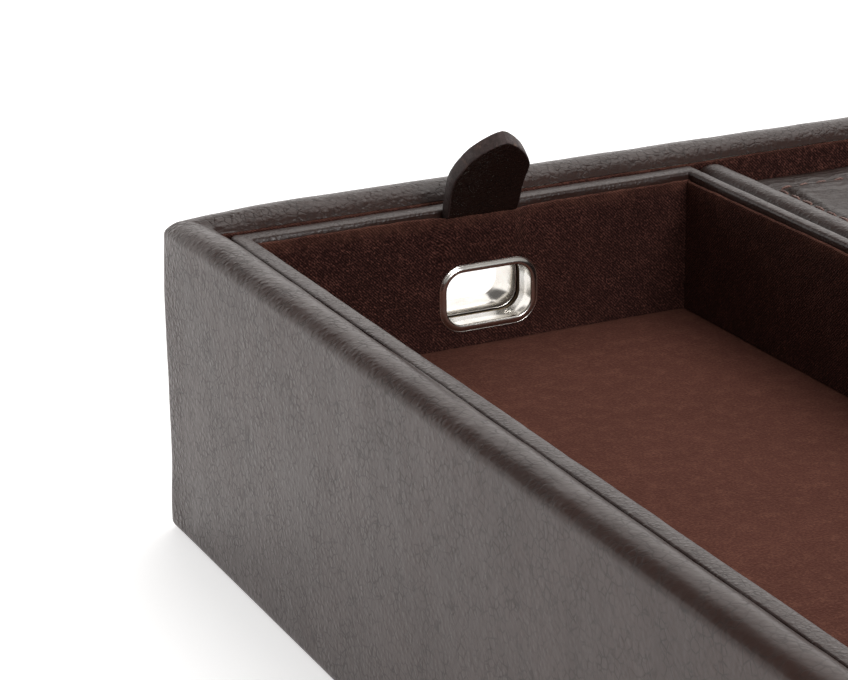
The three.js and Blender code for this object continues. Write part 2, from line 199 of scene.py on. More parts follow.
def slot_cutter(grow, y0, y1):
    p = oblong(SLOT_W + 2 * grow, SLOT_H + 2 * grow, SLOT_R + grow)
    n = len(p)
    V = np.concatenate([np.column_stack([p[:, 0] + SLOT_X, np.full(n, y), p[:, 1] + SLOT_Z]) for y in (y0, y1)])
    F = [list(range(n)), list(range(2 * n - 1, n - 1, -1))] + [[k, (k + 1) % n, n + (k + 1) % n, n + k] for k in range(n)]
    return make_mesh("cutter", V, F, smooth=False)


# ------------------------------------------------------------------ profiles and rings
def arc(cu, cz, ru, rz, a0, a1, n):
    t = np.radians(np.linspace(a0, a1, n))
    return [(cu + ru * math.cos(x), cz + rz * math.sin(x)) for x in t]


def line(p, q, step):
    n = max(1, int(round(math.hypot(q[0] - p[0], q[1] - p[1]) / step)))
    return [(p[0] + (q[0] - p[0]) * k / n, p[1] + (q[1] - p[1]) * k / n) for k in range(1, n)]


def ring(profile, x0, x1, y0, y1, R, rmin, step, nc=9):
    """sweeps (u, z) round the rectangle, u inward from its sides; returns a (profile, station, 3) grid"""
    prof = np.array(profile)
    out = []
    nx = max(2, int((x1 - x0) / step))
    ny = max(2, int((y1 - y0) / step))
    for u, z in prof:
        r = max(rmin, R - u)
        c = u + r
        pts = []
        corners = [(x1 - c, y0 + c, -90), (x1 - c, y1 - c, 0), (x0 + c, y1 - c, 90), (x0 + c, y0 + c, 180)]
        starts = [((x0 + c, y0 + u), (x1 - c, y0 + u), nx), ((x1 - u, y0 + c), (x1 - u, y1 - c), ny),
                  ((x1 - c, y1 - u), (x0 + c, y1 - u), nx), ((x0 + u, y1 - c), (x0 + u, y0 + c), ny)]
        for (p, q, n), (cx, cy, a0) in zip(starts, corners):
            for k in range(1, n):
                t = k / n
                pts.append((p[0] + (q[0] - p[0]) * t, p[1] + (q[1] - p[1]) * t, z))
            for k in range(nc + 1):
                a = math.radians(a0 + 90 * k / nc)
                pts.append((cx + r * math.cos(a), cy + r * math.sin(a), z))
        out.append(pts)
    return np.array(out)


# ------------------------------------------------------------------ camera
def make_camera():
    yaw, pitch, roll = 0.45341, 0.34217, -0.01167
    f = np.array([math.sin(yaw) * math.cos(pitch), math.cos(yaw) * math.cos(pitch), -math.sin(pitch)])
    r = np.array([math.cos(yaw), -math.sin(yaw), 0.0])
    u = np.cross(r, f)
    c, s = math.cos(roll), math.sin(roll)
    r2, u2 = c * r + s * u, -s * r + c * u
    cam = bpy.data.objects.new("camera", bpy.data.cameras.new("camera"))
    cam.data.sensor_fit = "HORIZONTAL"
    cam.data.sensor_width = 36.0
    cam.data.lens = 2648.4766 * 36.0 / 848.0
    cam.data.clip_start, cam.data.clip_end = 0.02, 50
    m = Matrix.Identity(4)
    for k in range(3):
        m[k][0], m[k][1], m[k][2] = r2[k], u2[k], -f[k]
    m[0][3], m[1][3], m[2][3] = -0.304336, -0.304429, 0.195501
    cam.matrix_world = m
    bpy.context.scene.collection.objects.link(cam)
    bpy.context.scene.camera = cam


make_camera()


# ------------------------------------------------------------------ materials
class Mat:
    """small helper that builds node materials"""
    def __init__(self, name):
        self.m = bpy.data.materials.new(name)
        self.m.use_nodes = True
        self.nt = self.m.node_tree
        self.nt.nodes.clear()
        self.out = self.node("ShaderNodeOutputMaterial")
        self.b = self.node("ShaderNodeBsdfPrincipled")
        self.link(self.b.outputs[0], self.out.inputs[0])
        self.tc = self.node("ShaderNodeTexCoord")

    def node(self, kind, **kw):
        n = self.nt.nodes.new(kind)
        for k, v in kw.items():
            setattr(n, k, v)
        return n

    def link(self, a, b):
        self.nt.links.new(a, b)

    def coord(self, scale=(1, 1, 1), rot=(0, 0, 0)):
        mp = self.node("ShaderNodeMapping")
        mp.inputs["Scale"].default_value = scale
        mp.inputs["Rotation"].default_value = rot
        self.link(self.tc.outputs["Object"], mp.inputs["Vector"])
        return mp.outputs["Vector"]

    def noise(self, vec, scale, detail=4, rough=0.55, dist=0.0):
        n = self.node("ShaderNodeTexNoise")
        n.inputs["Scale"].default_value = scale
        n.inputs["Detail"].default_value = detail
        n.inputs["Roughness"].default_value = rough
        n.inputs["Distortion"].default_value = dist
        self.link(vec, n.inputs["Vector"])
        return n.outputs["Fac"]

    def noise_vec(self, vec, scale, amount):
        """vec shifted by noise of that amount (metres)"""
        n = self.node("ShaderNodeTexNoise")
        n.inputs["Scale"].default_value = scale
        n.inputs["Detail"].default_value = 2
        self.link(vec, n.inputs["Vector"])
        s = self.node("ShaderNodeVectorMath", operation="SUBTRACT")
        s.inputs[1].default_value = (0.5, 0.5, 0.5)
        self.link(n.outputs["Color"], s.inputs[0])
        k = self.node("ShaderNodeVectorMath", operation="SCALE")
        k.inputs["Scale"].default_value = amount
        self.link(s.outputs[0], k.inputs[0])
        a = self.node("ShaderNodeVectorMath", operation="ADD")
        self.link(vec, a.inputs[0])
        self.link(k.outputs[0], a.inputs[1])
        return a.outputs[0]

    def voronoi(self, vec, scale, feature="DISTANCE_TO_EDGE", rand=1.0, out="Distance"):
        n = self.node("ShaderNodeTexVoronoi", feature=feature)
        n.inputs["Scale"].default_value = scale
        n.inputs["Randomness"].default_value = rand
        self.link(vec, n.inputs["Vector"])
        return n.outputs[out]

    def ramp(self, fac, stops):
        n = self.node("ShaderNodeValToRGB")
        cr = n.color_ramp
        while len(cr.elements) < len(stops):
            cr.elements.new(0.5)
        for e, (p, c) in zip(cr.elements, stops):
            e.position = p
            e.color = c if isinstance(c, tuple) else (c, c, c, 1)
        self.link(fac, n.inputs["Fac"])
        return n.outputs["Color"]

    def rng(self, v, a, b, c, d, smooth=True):
        n = self.node("ShaderNodeMapRange", interpolation_type="SMOOTHSTEP" if smooth else "LINEAR")
        n.inputs["From Min"].default_value = a
        n.inputs["From Max"].default_value = b
        n.inputs["To Min"].default_value = c
        n.inputs["To Max"].default_value = d
        self.link(v, n.inputs["Value"])
        return n.outputs["Result"]

    def math(self, op, a, b=None, clamp=False):
        n = self.node("ShaderNodeMath", operation=op, use_clamp=clamp)
        for k, v in enumerate((a, b)):
            if v is None:
                continue
            if isinstance(v, (int, float)):
                n.inputs[k].default_value = v
            else:
                self.link(v, n.inputs[k])
        return n.outputs[0]

    def mix(self, fac, a, b, blend="MIX"):
        n = self.node("ShaderNodeMix", data_type="RGBA", blend_type=blend)
        for sock, v in ((n.inputs[0], fac), (n.inputs[6], a), (n.inputs[7], b)):
            if isinstance(v, (int, float)):
                sock.default_value = v
            elif isinstance(v, tuple):
                sock.default_value = v
            else:
                self.link(v, sock)
        return n.outputs[2]

    def sep(self, vec):
        n = self.node("ShaderNodeSeparateXYZ")
        self.link(vec, n.inputs[0])
        return n.outputs

    def bump(self, height, dist, strength=1.0, normal=None):
        n = self.node("ShaderNodeBump")
        n.inputs["Distance"].default_value = dist
        n.inputs["Strength"].default_value = strength
        self.link(height, n.inputs["Height"])
        if normal is not None:
            self.link(normal, n.inputs["Normal"])
        return n.outputs["Normal"]

    def set(self, **kw):
        for k, v in kw.items():
            s = self.b.inputs[k.replace("_", " ")]
            if isinstance(v, (int, float, tuple)):
                s.default_value = v
            else:
                self.link(v, s)
        return self


def leather(name, base=(0.040, 0.0185, 0.0140, 1), dark=(0.012, 0.0065, 0.0052, 1), cell=0.85, depth=0.056, rough=0.29, stretch=(1, 1, 1), wrinkle=0.0, crease=0.45, ior=1.5, swell=None):
    """fine pebbled grain: small rounded bumps parted by shallow creases of uneven depth, with painted shade darkening
    the creases
    """
    m = Mat(name)
    v0 = m.coord(scale=stretch)
    v = m.noise_vec(v0, 900, 0.00035)
    n = m.node("ShaderNodeTexVoronoi", feature="SMOOTH_F1")
    n.inputs["Scale"].default_value = 1000 / cell
    n.inputs["Smoothness"].default_value = 0.45
    m.link(v, n.inputs["Vector"])
    pebble = m.rng(n.outputs["Distance"], 0.05, 0.62, 1.0, 0.0)
    e2 = m.voronoi(m.noise_vec(v0, 700, 0.0005), 1000 / (cell * 1.25))
    mask2 = m.rng(m.noise(v0, 330, 4, 0.6), 0.36, 0.64, 0.15, 1.0)
    cr2 = m.math("MULTIPLY", m.rng(e2, 0.0, 0.16, 1.0, 0.0), mask2)
    vc = m.noise_vec(v0, 260, 0.0012)
    e1 = m.voronoi(vc, 1000 / (cell * 3.1))
    mask = m.rng(m.noise(v0, 190, 4, 0.6), 0.46, 0.66, 0.0, 1.0)
    cr1 = m.math("MULTIPLY", m.rng(e1, 0.0, 0.055, 1.0, 0.0), mask)
    patch = m.rng(m.noise(v0, 150, 3), 0.35, 0.65, 0.60, 1.0)
    h = m.math("MULTIPLY", pebble, patch)
    h = m.math("ADD", h, m.math("MULTIPLY", m.noise(v0, 4200, 3, 0.6), 0.34))
    h = m.math("SUBTRACT", h, m.math("MULTIPLY", cr1, 0.50 * crease))
    h = m.math("SUBTRACT", h, m.math("MULTIPLY", cr2, 0.80 * crease))
    if swell:
        y = m.sep(m.tc.outputs["Object"])[1]
        w = m.math("ADD", m.rng(y, -0.08, 0.10, swell[0], swell[1]), m.rng(y, 0.108, 0.114, 0.0, swell[2]))
        h = m.math("MULTIPLY", h, w)
    n1 = m.bump(h, depth * MM)
    soft = m.noise(m.coord(), 130, 3)
    n2 = m.bump(soft, 0.30 * MM, 0.5, n1)
    if wrinkle:
        wv = m.noise(m.coord(scale=(0.10, 1.0, 1.0)), 620, 4, 0.6, 0.4)
        n2 = m.bump(m.rng(wv, 0.42, 0.62, 0.0, 1.0), wrinkle * MM, 1.0, n2)
    tone = m.noise(v0, 60, 4)
    c = m.mix(m.rng(tone, 0.3, 0.7, 0.0, 1.0), base, tuple(x * 0.84 for x in base[:3]) + (1,))
    # painted shade: the colour is darkened in the creases of the grain
    c = m.mix(m.math("ADD", m.math("MULTIPLY", cr1, 0.3), m.math("MULTIPLY", cr2, 0.5), clamp=True), c, dark)
    r = m.math("ADD", m.math("MULTIPLY", m.math("MAXIMUM", cr1, cr2), 0.14), rough - 0.04)
    r = m.math("ADD", r, m.math("MULTIPLY", m.noise(v0, 800, 4), 0.10))
    m.set(Base_Color=c, Roughness=r, Normal=n2)
    m.b.inputs["IOR"].default_value = ior
    return m.m


def suede(name, base=(0.078, 0.0280, 0.0225, 1), dark=(0.016, 0.0052, 0.0044, 1), light=(0.215, 0.084, 0.064, 1), twill=1.0, fuzz_highlight=None, nap=0.45, speck=0.8):
    """brushed microsuede; fuzz=(axis, value_m, width_m) paints a highlight on the cloth towards a cut edge, where its
    fibres catch the light
    """
    m = Mat(name)
    v = m.coord()
    big = m.noise(v, 38, 5, 0.62, 0.6)
    mid = m.noise(v, 300, 4, 0.6)
    fine = m.noise(m.noise_vec(v, 1300, 0.00025), 2300, 2, 0.6)
    c = m.mix(m.rng(big, 0.34, 0.68, 0.0, 1.0), tuple(0.62 * a + 0.38 * b for a, b in zip(base[:3], dark[:3])) + (1,), base)
    c = m.mix(m.rng(mid, 0.42, 0.78, 0.0, nap), c, light)
    h = m.math("ADD", fine, m.math("MULTIPLY", mid, 0.7))
    if twill:
        w = m.node("ShaderNodeTexWave", wave_type="BANDS", bands_direction="DIAGONAL", wave_profile="SIN")
        w.inputs["Scale"].default_value = 1050
        w.inputs["Distortion"].default_value = 2.6
        w.inputs["Detail"].default_value = 2
        w.inputs["Detail Scale"].default_value = 2.4
        m.link(m.noise_vec(v, 700, 0.00035), w.inputs["Vector"])
        h = m.math("ADD", h, m.math("MULTIPLY", w.outputs["Fac"], 0.9 * twill))
        c = m.mix(m.rng(w.outputs["Fac"], 0.08, 0.72, 0.90 * twill, 0.0), c, dark)
    # painted highlights and painted shade in specks, standing in for short fibres catching the light
    c = m.mix(m.rng(fine, 0.38, 0.54, speck, 0.0), c, dark)
    c = m.mix(m.rng(fine, 0.55, 0.70, 0.0, 0.75 * speck), c, light)
    # painted highlight: the cloth is painted lighter towards the cut edge, where the fibres catch the light
    if fuzz_highlight:
        ax, val, wd, amt = fuzz_highlight
        sp = m.sep(m.tc.outputs["Object"])[ax]
        wob = m.math("MULTIPLY", m.math("SUBTRACT", m.noise(v, 900, 4, 0.65), 0.5), 3.4 * abs(wd))
        t = m.rng(m.math("ADD", sp, wob), val - 1.6 * wd, val + 0.2 * wd, 0.0, amt)
        t = m.math("MULTIPLY", t, m.rng(m.noise(v, 150, 3), 0.30, 0.65, 0.35, 1.0))
        c = m.mix(t, c, (0.150, 0.062, 0.042, 1))
    m.set(Base_Color=c, Roughness=0.95, Normal=m.bump(h, 0.14 * MM, 1.0))
    m.b.inputs["Specular IOR Level"].default_value = 0.12
    m.b.inputs["Sheen Weight"].default_value = 0.22
    m.b.inputs["Sheen Roughness"].default_value = 0.45
    m.b.inputs["Sheen Tint"].default_value = (0.60, 0.26, 0.19, 1)
    return m.m


def nickel(name):
    m = Mat(name)
    v = m.coord()
    n = m.noise(m.coord(scale=(1, 0.08, 1)), 2600, 3, 0.6)
    smear = m.noise(v, 260, 4, 0.6)
    r = m.math("ADD", m.rng(smear, 0.35, 0.75, 0.15, 0.25), m.math("MULTIPLY", n, 0.04))
    c = m.mix(m.rng(smear, 0.3, 0.8, 0.0, 1.0), (0.80, 0.775, 0.735, 1), (0.70, 0.67, 0.62, 1))
    m.set(Base_Color=c, Roughness=r, Normal=m.bump(n, 0.006 * MM, 0.6))
    m.b.inputs["Metallic"].default_value = 1.0
    return m.m


def fibreboard(name):
    m = Mat(name)
    v = m.coord()
    f = m.noise(m.coord(scale=(1, 1, 3.5)), 900, 5, 0.7)
    s = m.noise(v, 3500, 3, 0.7)
    c = m.mix(m.rng(f, 0.3, 0.7, 0.0, 1.0), (0.36, 0.25, 0.15, 1), (0.50, 0.37, 0.24, 1))
    c = m.mix(m.rng(s, 0.55, 0.75, 0.0, 0.5), c, (0.22, 0.14, 0.08, 1))
    m.set(Base_Color=c, Roughness=m.rng(s, 0.3, 0.7, 0.75, 0.92), Normal=m.bump(m.math("ADD", f, s), 0.12 * MM, 0.8))
    return m.m


def foam(name):
    m = Mat(name)
    v = m.coord()
    p = m.voronoi(v, 1400, "F1")
    q = m.voronoi(v, 620, "F1")
    h = m.math("ADD", m.rng(p, 0.1, 0.6, 0.0, 1.0), m.rng(q, 0.1, 0.7, 0.0, 1.0))
    c = m.mix(m.rng(h, 0.3, 1.6, 0.0, 1.0), (0.16, 0.15, 0.13, 1), (0.42, 0.40, 0.36, 1))
    m.set(Base_Color=c, Roughness=0.95, Normal=m.bump(h, 0.25 * MM, 0.9))
    return m.m


def greyboard(name):
    m = Mat(name)
    v = m.coord()
    f = m.noise(m.coord(scale=(1, 4, 1)), 700, 5, 0.7)
    s = m.noise(v, 4200, 2, 0.6)
    c = m.mix(m.rng(f, 0.3, 0.7, 0.0, 1.0), (0.22, 0.19, 0.15, 1), (0.34, 0.30, 0.25, 1))
    c = m.mix(m.rng(s, 0.6, 0.7, 0.0, 0.6), c, (0.12, 0.10, 0.08, 1))
    m.set(Base_Color=c, Roughness=m.rng(s, 0.3, 0.7, 0.8, 0.95), Normal=m.bump(m.math("ADD", f, s), 0.06 * MM, 0.8))
    return m.m


def felt(name):
    m = Mat(name)
    v = m.coord()
    f = m.noise(v, 1700, 5, 0.75, 1.5)
    g = m.noise(v, 420, 4, 0.6)
    c = m.mix(m.rng(f, 0.3, 0.7, 0.0, 1.0), (0.016, 0.011, 0.009, 1), (0.060, 0.044, 0.036, 1))
    c = m.mix(m.rng(g, 0.4, 0.7, 0.0, 0.4), c, (0.085, 0.065, 0.055, 1))
    m.set(Base_Color=c, Roughness=0.97, Normal=m.bump(m.math("ADD", f, g), 0.25 * MM, 0.9))
    m.b.inputs["Sheen Weight"].default_value = 0.3
    m.b.inputs["Sheen Roughness"].default_value = 0.6
    return m.m


def cut_edge(name):
    """burnished cut edge of thick leather"""
    m = Mat(name)
    v = m.coord()
    lay = m.noise(m.coord(scale=(1, 1, 1)), 1500, 5, 0.7, 0.8)
    sp = m.noise(v, 420, 4, 0.65)
    c = m.mix(m.rng(lay, 0.3, 0.7, 0.0, 1.0), (0.030, 0.018, 0.016, 1), (0.085, 0.055, 0.052, 1))
    c = m.mix(m.rng(sp, 0.56, 0.70, 0.0, 0.75), c, (0.20, 0.125, 0.095, 1))
    m.set(Base_Color=c, Roughness=m.rng(sp, 0.3, 0.7, 0.5, 0.72), Normal=m.bump(m.math("ADD", lay, sp), 0.16 * MM, 0.9))
    return m.m


def thread(name):
    m = Mat(name)
    v = m.coord()
    w = m.node("ShaderNodeTexWave", wave_type="BANDS", bands_direction="DIAGONAL", wave_profile="SIN")
    w.inputs["Scale"].default_value = 900
    w.inputs["Distortion"].default_value = 0.8
    m.link(v, w.inputs["Vector"])
    n = m.noise(v, 1200, 4, 0.7)
    c = m.mix(w.outputs["Fac"], (0.085, 0.030, 0.022, 1), (0.27, 0.125, 0.095, 1))
    c = m.mix(m.rng(n, 0.45, 0.7, 0.0, 0.5), c, (0.42, 0.25, 0.20, 1))
    m.set(Base_Color=c, Roughness=0.6, Normal=m.bump(w.outputs["Fac"], 0.10 * MM, 0.9))
    m.b.inputs["Sheen Weight"].default_value = 0.3
    return m.m


M_WRAP = leather("leather_wrap", cell=1.15, depth=0.064, crease=0.60, ior=1.38, swell=(0.22, 0.60, 0.90))
M_TRIM = leather("leather_trim", cell=0.75, depth=0.050, rough=0.32)
M_PAD = leather("leather_pad", base=(0.046, 0.028, 0.023, 1), cell=0.85, depth=0.055, rough=0.34, wrinkle=0.16)
M_TAB = leather("leather_tab", base=(0.015, 0.0085, 0.007, 1), dark=(0.004, 0.003, 0.003, 1), cell=1.0, depth=0.14, rough=0.22, stretch=(0.8, 1, 1), crease=0.5, ior=1.44)
M_TABEDGE = cut_edge("leather_cut_edge")
M_SUEDE = suede("suede_lining")
M_LINING = suede("suede_box_lining", fuzz_highlight=(2, 0.0571, 0.0009, 0.30))
M_CARD = suede("suede_card", fuzz_highlight=(2, 0.0557, 0.0020, 0.52))
# painted light: the floor card's suede has less twill and more nap, and is painted lighter than the lining suede to
# stand in for the light falling on it from above
M_FLOOR_LIT = suede("suede_floor_painted_light", twill=0.25, nap=0.75, speck=0.60, base=(0.112, 0.041, 0.029, 1), dark=(0.060, 0.020, 0.014, 1), light=(0.175, 0.072, 0.050, 1))
M_NICKEL = nickel("nickel")
M_BOARD = fibreboard("fibreboard")
M_FOAM = foam("foam")
M_GREY = greyboard("greyboard")
M_FELT = felt("felt")
M_THREAD = thread("thread")


def put(ob, *mats):
    ob.data.materials.clear()
    for m in mats:
        ob.data.materials.append(m)


# CAD nodes that keep their shape get their finish here.
SLOTS = {s["node"]: s["material_slot"] for s in frame["record"]["subparts"]}
BY_SLOT = {"leather": M_WRAP, "suede": M_SUEDE, "board": M_BOARD, "foam": M_FOAM, "card": M_GREY, "felt": M_FELT, "thread": M_THREAD, "nickel": M_NICKEL}
for node, ob in NODES.items():
    put(ob, BY_SLOT[SLOTS[node]])


def piece(ob, body, slotname, replaces, *mats):
    put(ob, *mats)
    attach(ob, body)
    if replaces:
        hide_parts(*replaces)
    return ob


# ------------------------------------------------------------------ outer leather wrap
def outer_wrap():
    vis = []
    vis += [(14.0, 0.0)] + line((14, 0), (1.6, 0), 3.0) + [(1.6, 0.0)]
    vis += arc(1.5, 1.5, 1.5, 1.5, 265, 185, 6) + [(0.0, 1.7)]
    vis += line((0, 1.7), (0, 57.0), 2.0) + [(0.0, 57.0), (0.0, 57.5)]
    # the padded rim: a tight outer corner, a round top, rolled in over the lining
    vis += [(0.05, 57.9), (0.20, 58.25), (0.48, 58.57), (0.90, 58.92), (1.40, 59.23), (2.00, 59.52), (2.70, 59.69), (3.40, 59.79), (4.00, 59.82)]
    vis += [(4.70, 59.78), (5.40, 59.65), (6.00, 59.45), (6.60, 59.18), (7.20, 58.80), (7.70, 58.39), (8.20, 57.87), (8.46, 57.53), (8.64, 57.27)]
    inner = [(8.55, 57.20), (8.02, 57.38), (7.93, 57.62)]
    inner += arc(6.4, 57.5, 1.45, 1.00, 20, 80, 4) + [(4.9, 58.55)] + arc(4.9, 55.3, 3.48, 3.25, 100, 172, 6)
    inner += line((1.42, 55.0), (1.42, 1.25), 14) + [(1.42, 1.25), (14.0, 1.25)]
    prof = vis + inner
    P = ring(prof, X0, X1, Y0, Y1, 3.0, 0.45, 1.7)
    N = grid_normals(P, True, True)
    w = np.zeros(len(prof))
    w[:len(vis)] = 1.0
    z = np.array([p[1] for p in prof])
    w *= sstep(0.3, 2.5, z)                                      # the foot stays flat
    w[len(vis) - 2:len(vis)] = 0.1
    d = 0.11 * vnoise(P, 26, 3) + 0.06 * vnoise(P, 9, 7) + 0.045 * vnoise(P, 3.0, 11) * sstep(50, 57, P[..., 2]) + 0.02 * vnoise(P, 3.4, 13)
    # the leather leaves the board softly just under the rim
    d += -0.05 * np.exp(-((P[..., 2] - 56.2) / 1.0) ** 2) * (0.75 + 0.5 * vnoise(P, 30, 5))
    k = int(np.argmin(abs(z - 30)))
    out = np.sign(N[k, 3, 1] * -1.0)                              # station 3 lies on the front side, outward is -Y
    P = P + N * (d * w[:, None])[..., None] * out
    # the rim comes down a little towards each corner and is drawn in there
    vis_w = np.zeros(len(prof))
    vis_w[:len(vis)] = 1.0
    ex = np.minimum(P[..., 0] - X0, X1 - P[..., 0])
    ey = np.minimum(P[..., 1] - Y0, Y1 - P[..., 1])
    far = np.maximum(ex, ey)                                      # distance from the corner along the rim
    top = sstep(44, 59, P[..., 2]) * vis_w[:, None]
    drop = (0.42 * np.exp(-(far / 7.0) ** 2) + 0.26 * np.exp(-(far / 10.0) ** 2) + 0.30 * np.exp(-((far - 9.0) / 7.0) ** 2) + 0.33 * np.exp(-far / 26.0) - 0.03) * sstep(54.5, 59.0, P[..., 2]) * vis_w[:, None]
    P[..., 2] -= np.clip(drop, 0, 1.3)
    pin = (0.42 + 0.45 * sstep(56.0, 59.3, P[..., 2])) * np.exp(-(far / 5.0) ** 2) * top
    foot = 0.50 * np.exp(-(far / 4.5) ** 2) * (1 - sstep(3.0, 15.0, P[..., 2])) * sstep(0.2, 1.8, P[..., 2]) * vis_w[:, None]
    sx, sy = np.sign(P[..., 0]), np.sign(P[..., 1])
    P[..., 0] += sx * (foot - pin) * np.exp(-ex / 4.0)
    P[..., 1] += sy * (foot - pin) * np.exp(-ey / 4.0)
    # a gathered fold or two where the leather goes round each top corner
    for cx in (X0, X1):
        for cy in (Y0, Y1):
            r = np.hypot(P[..., 0] - cx, P[..., 1] - cy)
            a = np.arctan2(abs(P[..., 1] - cy) + 0.4, abs(P[..., 0] - cx) + 0.4)
            kk = np.exp(-(r / 5.0) ** 2) * sstep(55, 59, P[..., 2]) * vis_w[:, None]
            P[..., 2] += kk * (-0.16 * np.exp(-((a - 0.80) / 0.10) ** 2) + 0.05 * np.cos(a * 15))
    ob = make_mesh("outer_wrap", P, grid_faces(P.shape[0], P.shape[1], True, True))
    cut(ob, slot_cutter(0.7, 116.0, 125.0))
    # seat for the grommet lip
    p = oblong(20.8, 13.6, 5.2)
    n = len(p)
    V = np.concatenate([np.column_stack([p[:, 0] + SLOT_X, np.full(n, y), p[:, 1] + SLOT_Z]) for y in (119.45, 125.0)])
    F = [list(range(n)), list(range(2 * n - 1, n - 1, -1))] + [[k, (k + 1) % n, n + (k + 1) % n, n + k] for k in range(n)]
    cut(ob, make_mesh("cutter", V, F, smooth=False))
    auto_smooth(ob, 50)
    piece(ob, "box", "leather", ["outer_leather"], M_WRAP)


outer_wrap()


# ------------------------------------------------------------------ insert leather wrap
def insert_wrap():
    vis = [(10.0, 26.6), (5.0, 26.6), (0.9, 26.6)] + arc(0.8, 27.4, 0.8, 0.8, 260, 190, 4)
    vis += line((0, 27.6), (0, 55.6), 2.4) + [(0, 55.6)]
    vis += arc(0.42, 56.55, 0.42, 0.42, 170, 100, 6) + [(0.9, 57.02), (1.3, 57.04), (1.75, 57.05), (2.2, 57.04), (2.5, 57.00)]
    vis += arc(2.55, 56.17, 0.80, 0.80, 78, 4, 8)
    vis += [(3.35, 55.6), (3.32, 54.8), (3.3, 53.0), (3.3, 50.0), (3.3, 46.0)]
    inner = [(2.6, 46.0), (2.6, 55.3)] + arc(1.66, 55.45, 0.92, 0.85, 15, 165, 5) + [(0.72, 55.2), (0.72, 40.0), (0.72, 27.33), (10.0, 27.33)]
    prof = vis + inner
    P = ring(prof, INS_X0, INS_X1, -INS_Y, INS_Y, 1.6, 0.4, 1.8)
    N = grid_normals(P, True, True)
    z = np.array([p[1] for p in prof])
    w = np.zeros(len(prof))
    w[:len(vis)] = 1.0
    w *= sstep(27.2, 29.5, z)
    w[len(vis) - 6:] = 0.0
    k = int(np.argmin(abs(z - 40)))
    out = np.sign(N[k, 3, 1] * -1.0)
    d = 0.06 * vnoise(P, 22, 31) + 0.045 * vnoise(P, 7, 33) + 0.03 * vnoise(P, 2.4, 35) * sstep(54, 57, P[..., 2])
    P = P + N * (np.clip(d, -0.14, 0.10) * w[:, None])[..., None] * out
    # the rim beside the divider rolls away from it
    t = np.clip((P[..., 0] - (INS_X1 - 1.7)) / 1.7, 0, 1) * w[:, None]
    P[..., 2] -= 0.85 * t * t * sstep(54.5, 56.8, P[..., 2])
    P[..., 0] -= 0.40 * t * sstep(48.0, 56.0, P[..., 2])
    ob = make_mesh("insert_wrap", P, grid_faces(P.shape[0], P.shape[1], True, True))
    cut(ob, slot_cutter(0.62, 108.0, 112.0))
    auto_smooth(ob, 50)
    piece(ob, "insert", "leather", ["insert_leather"], M_TRIM)


insert_wrap()


# ------------------------------------------------------------------ divider leather
def divider_wrap():
    c, hw = (DIV_X0 + DIV_X1) / 2, (DIV_X1 - DIV_X0) / 2
    outer = [(-hw, 6.3)] + [(-hw, zz) for zz in np.linspace(9, 54.4, 20)]
    outer += [(-hw * math.cos(t), 54.6 + 2.4 * math.sin(t) ** 0.9) for t in np.radians(np.linspace(6, 90, 9))]
    outer += [(-x, z) for x, z in outer[::-1][1:]]
    hi = hw - 0.9
    inner = [(hi, 6.3), (hi, 55.0), (hi - 0.5, 55.55), (0.6, 55.95), (-0.6, 55.95), (-hi + 0.5, 55.55), (-hi, 55.0), (-hi, 6.3)]
    prof = outer + inner
    ys = np.concatenate([[-YI], -YI + np.array([0.25, 0.6, 1.0, 1.5, 2.1, 2.8, 3.6]), np.linspace(-YI + 5, YI - 5, 130), YI - np.array([3.6, 2.8, 2.1, 1.5, 1.0, 0.6, 0.25]), [YI]])
    e = YI - abs(ys)
    drop = 1.35 * (1 - np.sqrt(np.clip(1 - (1 - np.clip(e / 2.8, 0, 1)) ** 2, 0, 1)))     # rounded ends of the cap
    P = np.zeros((len(ys), len(prof), 3))
    for j, (x, z) in enumerate(prof):
        top = sstep(54.0, 56.5, z) if j < len(outer) else 0.0
        P[:, j, 0] = c + x * (1 - 0.10 * (drop / 1.35) * top)
        P[:, j, 1] = ys
        P[:, j, 2] = z - drop * top
    N = grid_normals(P, False, True)
    w = np.zeros(len(prof))
    w[:len(outer)] = 1
    w[0] = w[len(outer) - 1] = 0
    side = np.sign(N[60, 5, 0] * -1.0)
    d = 0.08 * vnoise(P, 20, 51) + 0.05 * vnoise(P, 6, 53) + 0.02 * vnoise(P, 2.5, 55)
    lim = np.where(np.array([p[0] for p in prof]) < 0, 0.05, 0.05)
    P = P + N * (np.clip(d, -0.15, lim[None, :]) * w[None, :] * sstep(0, 2, e)[:, None])[..., None] * side
    n, k = P.shape[0], P.shape[1]
    F = grid_faces(n, k, False, True).tolist()
    F += [list(range(k)), [(n - 1) * k + j for j in range(k)][::-1]]
    ob = make_mesh("divider_wrap", P, F)
    bm = bmesh.new()
    bm.from_mesh(ob.data)
    bmesh.ops.triangulate(bm, faces=[f for f in bm.faces if len(f.verts) > 4])
    bmesh.ops.recalc_face_normals(bm, faces=bm.faces)
    bm.to_mesh(ob.data)
    bm.free()
    auto_smooth(ob, 50)
    piece(ob, "box", "leather", ["divider_leather"], M_TRIM)


divider_wrap()


# ------------------------------------------------------------------ suede cards of the insert
def slab_grid(x0, x1, z0, z1, yb, yf, nx, nz, bulge=None, rnd=0.35):
    """a thin upright card in the XZ plane: back face at yb, front face at yf, edges rounded"""
    xs = np.linspace(x0, x1, nx)
    zs = np.concatenate([[z0], np.linspace(z0 + 0.5, z1 - 1.2, nz), z1 - np.array([0.8, 0.5, 0.3])])
    s = 1 if yb > yf else -1
    rows = []
    for z in zs:
        rows.append((z, yf))
    mid = (yb + yf) / 2
    h = abs(yb - yf) / 2
    for t in np.radians(np.linspace(20, 160, 7)):
        rows.append((z1 - 0.3 + 0.3 * math.sin(t), mid - s * h * math.cos(t)))
    for z in zs[::-1]:
        rows.append((z, yb))
    P = np.zeros((len(rows), nx, 3))
    for i, (z, y) in enumerate(rows):
        P[i, :, 0] = xs
        P[i, :, 1] = y
        P[i, :, 2] = z
    if bulge is not None:
        P = bulge(P)
    return P


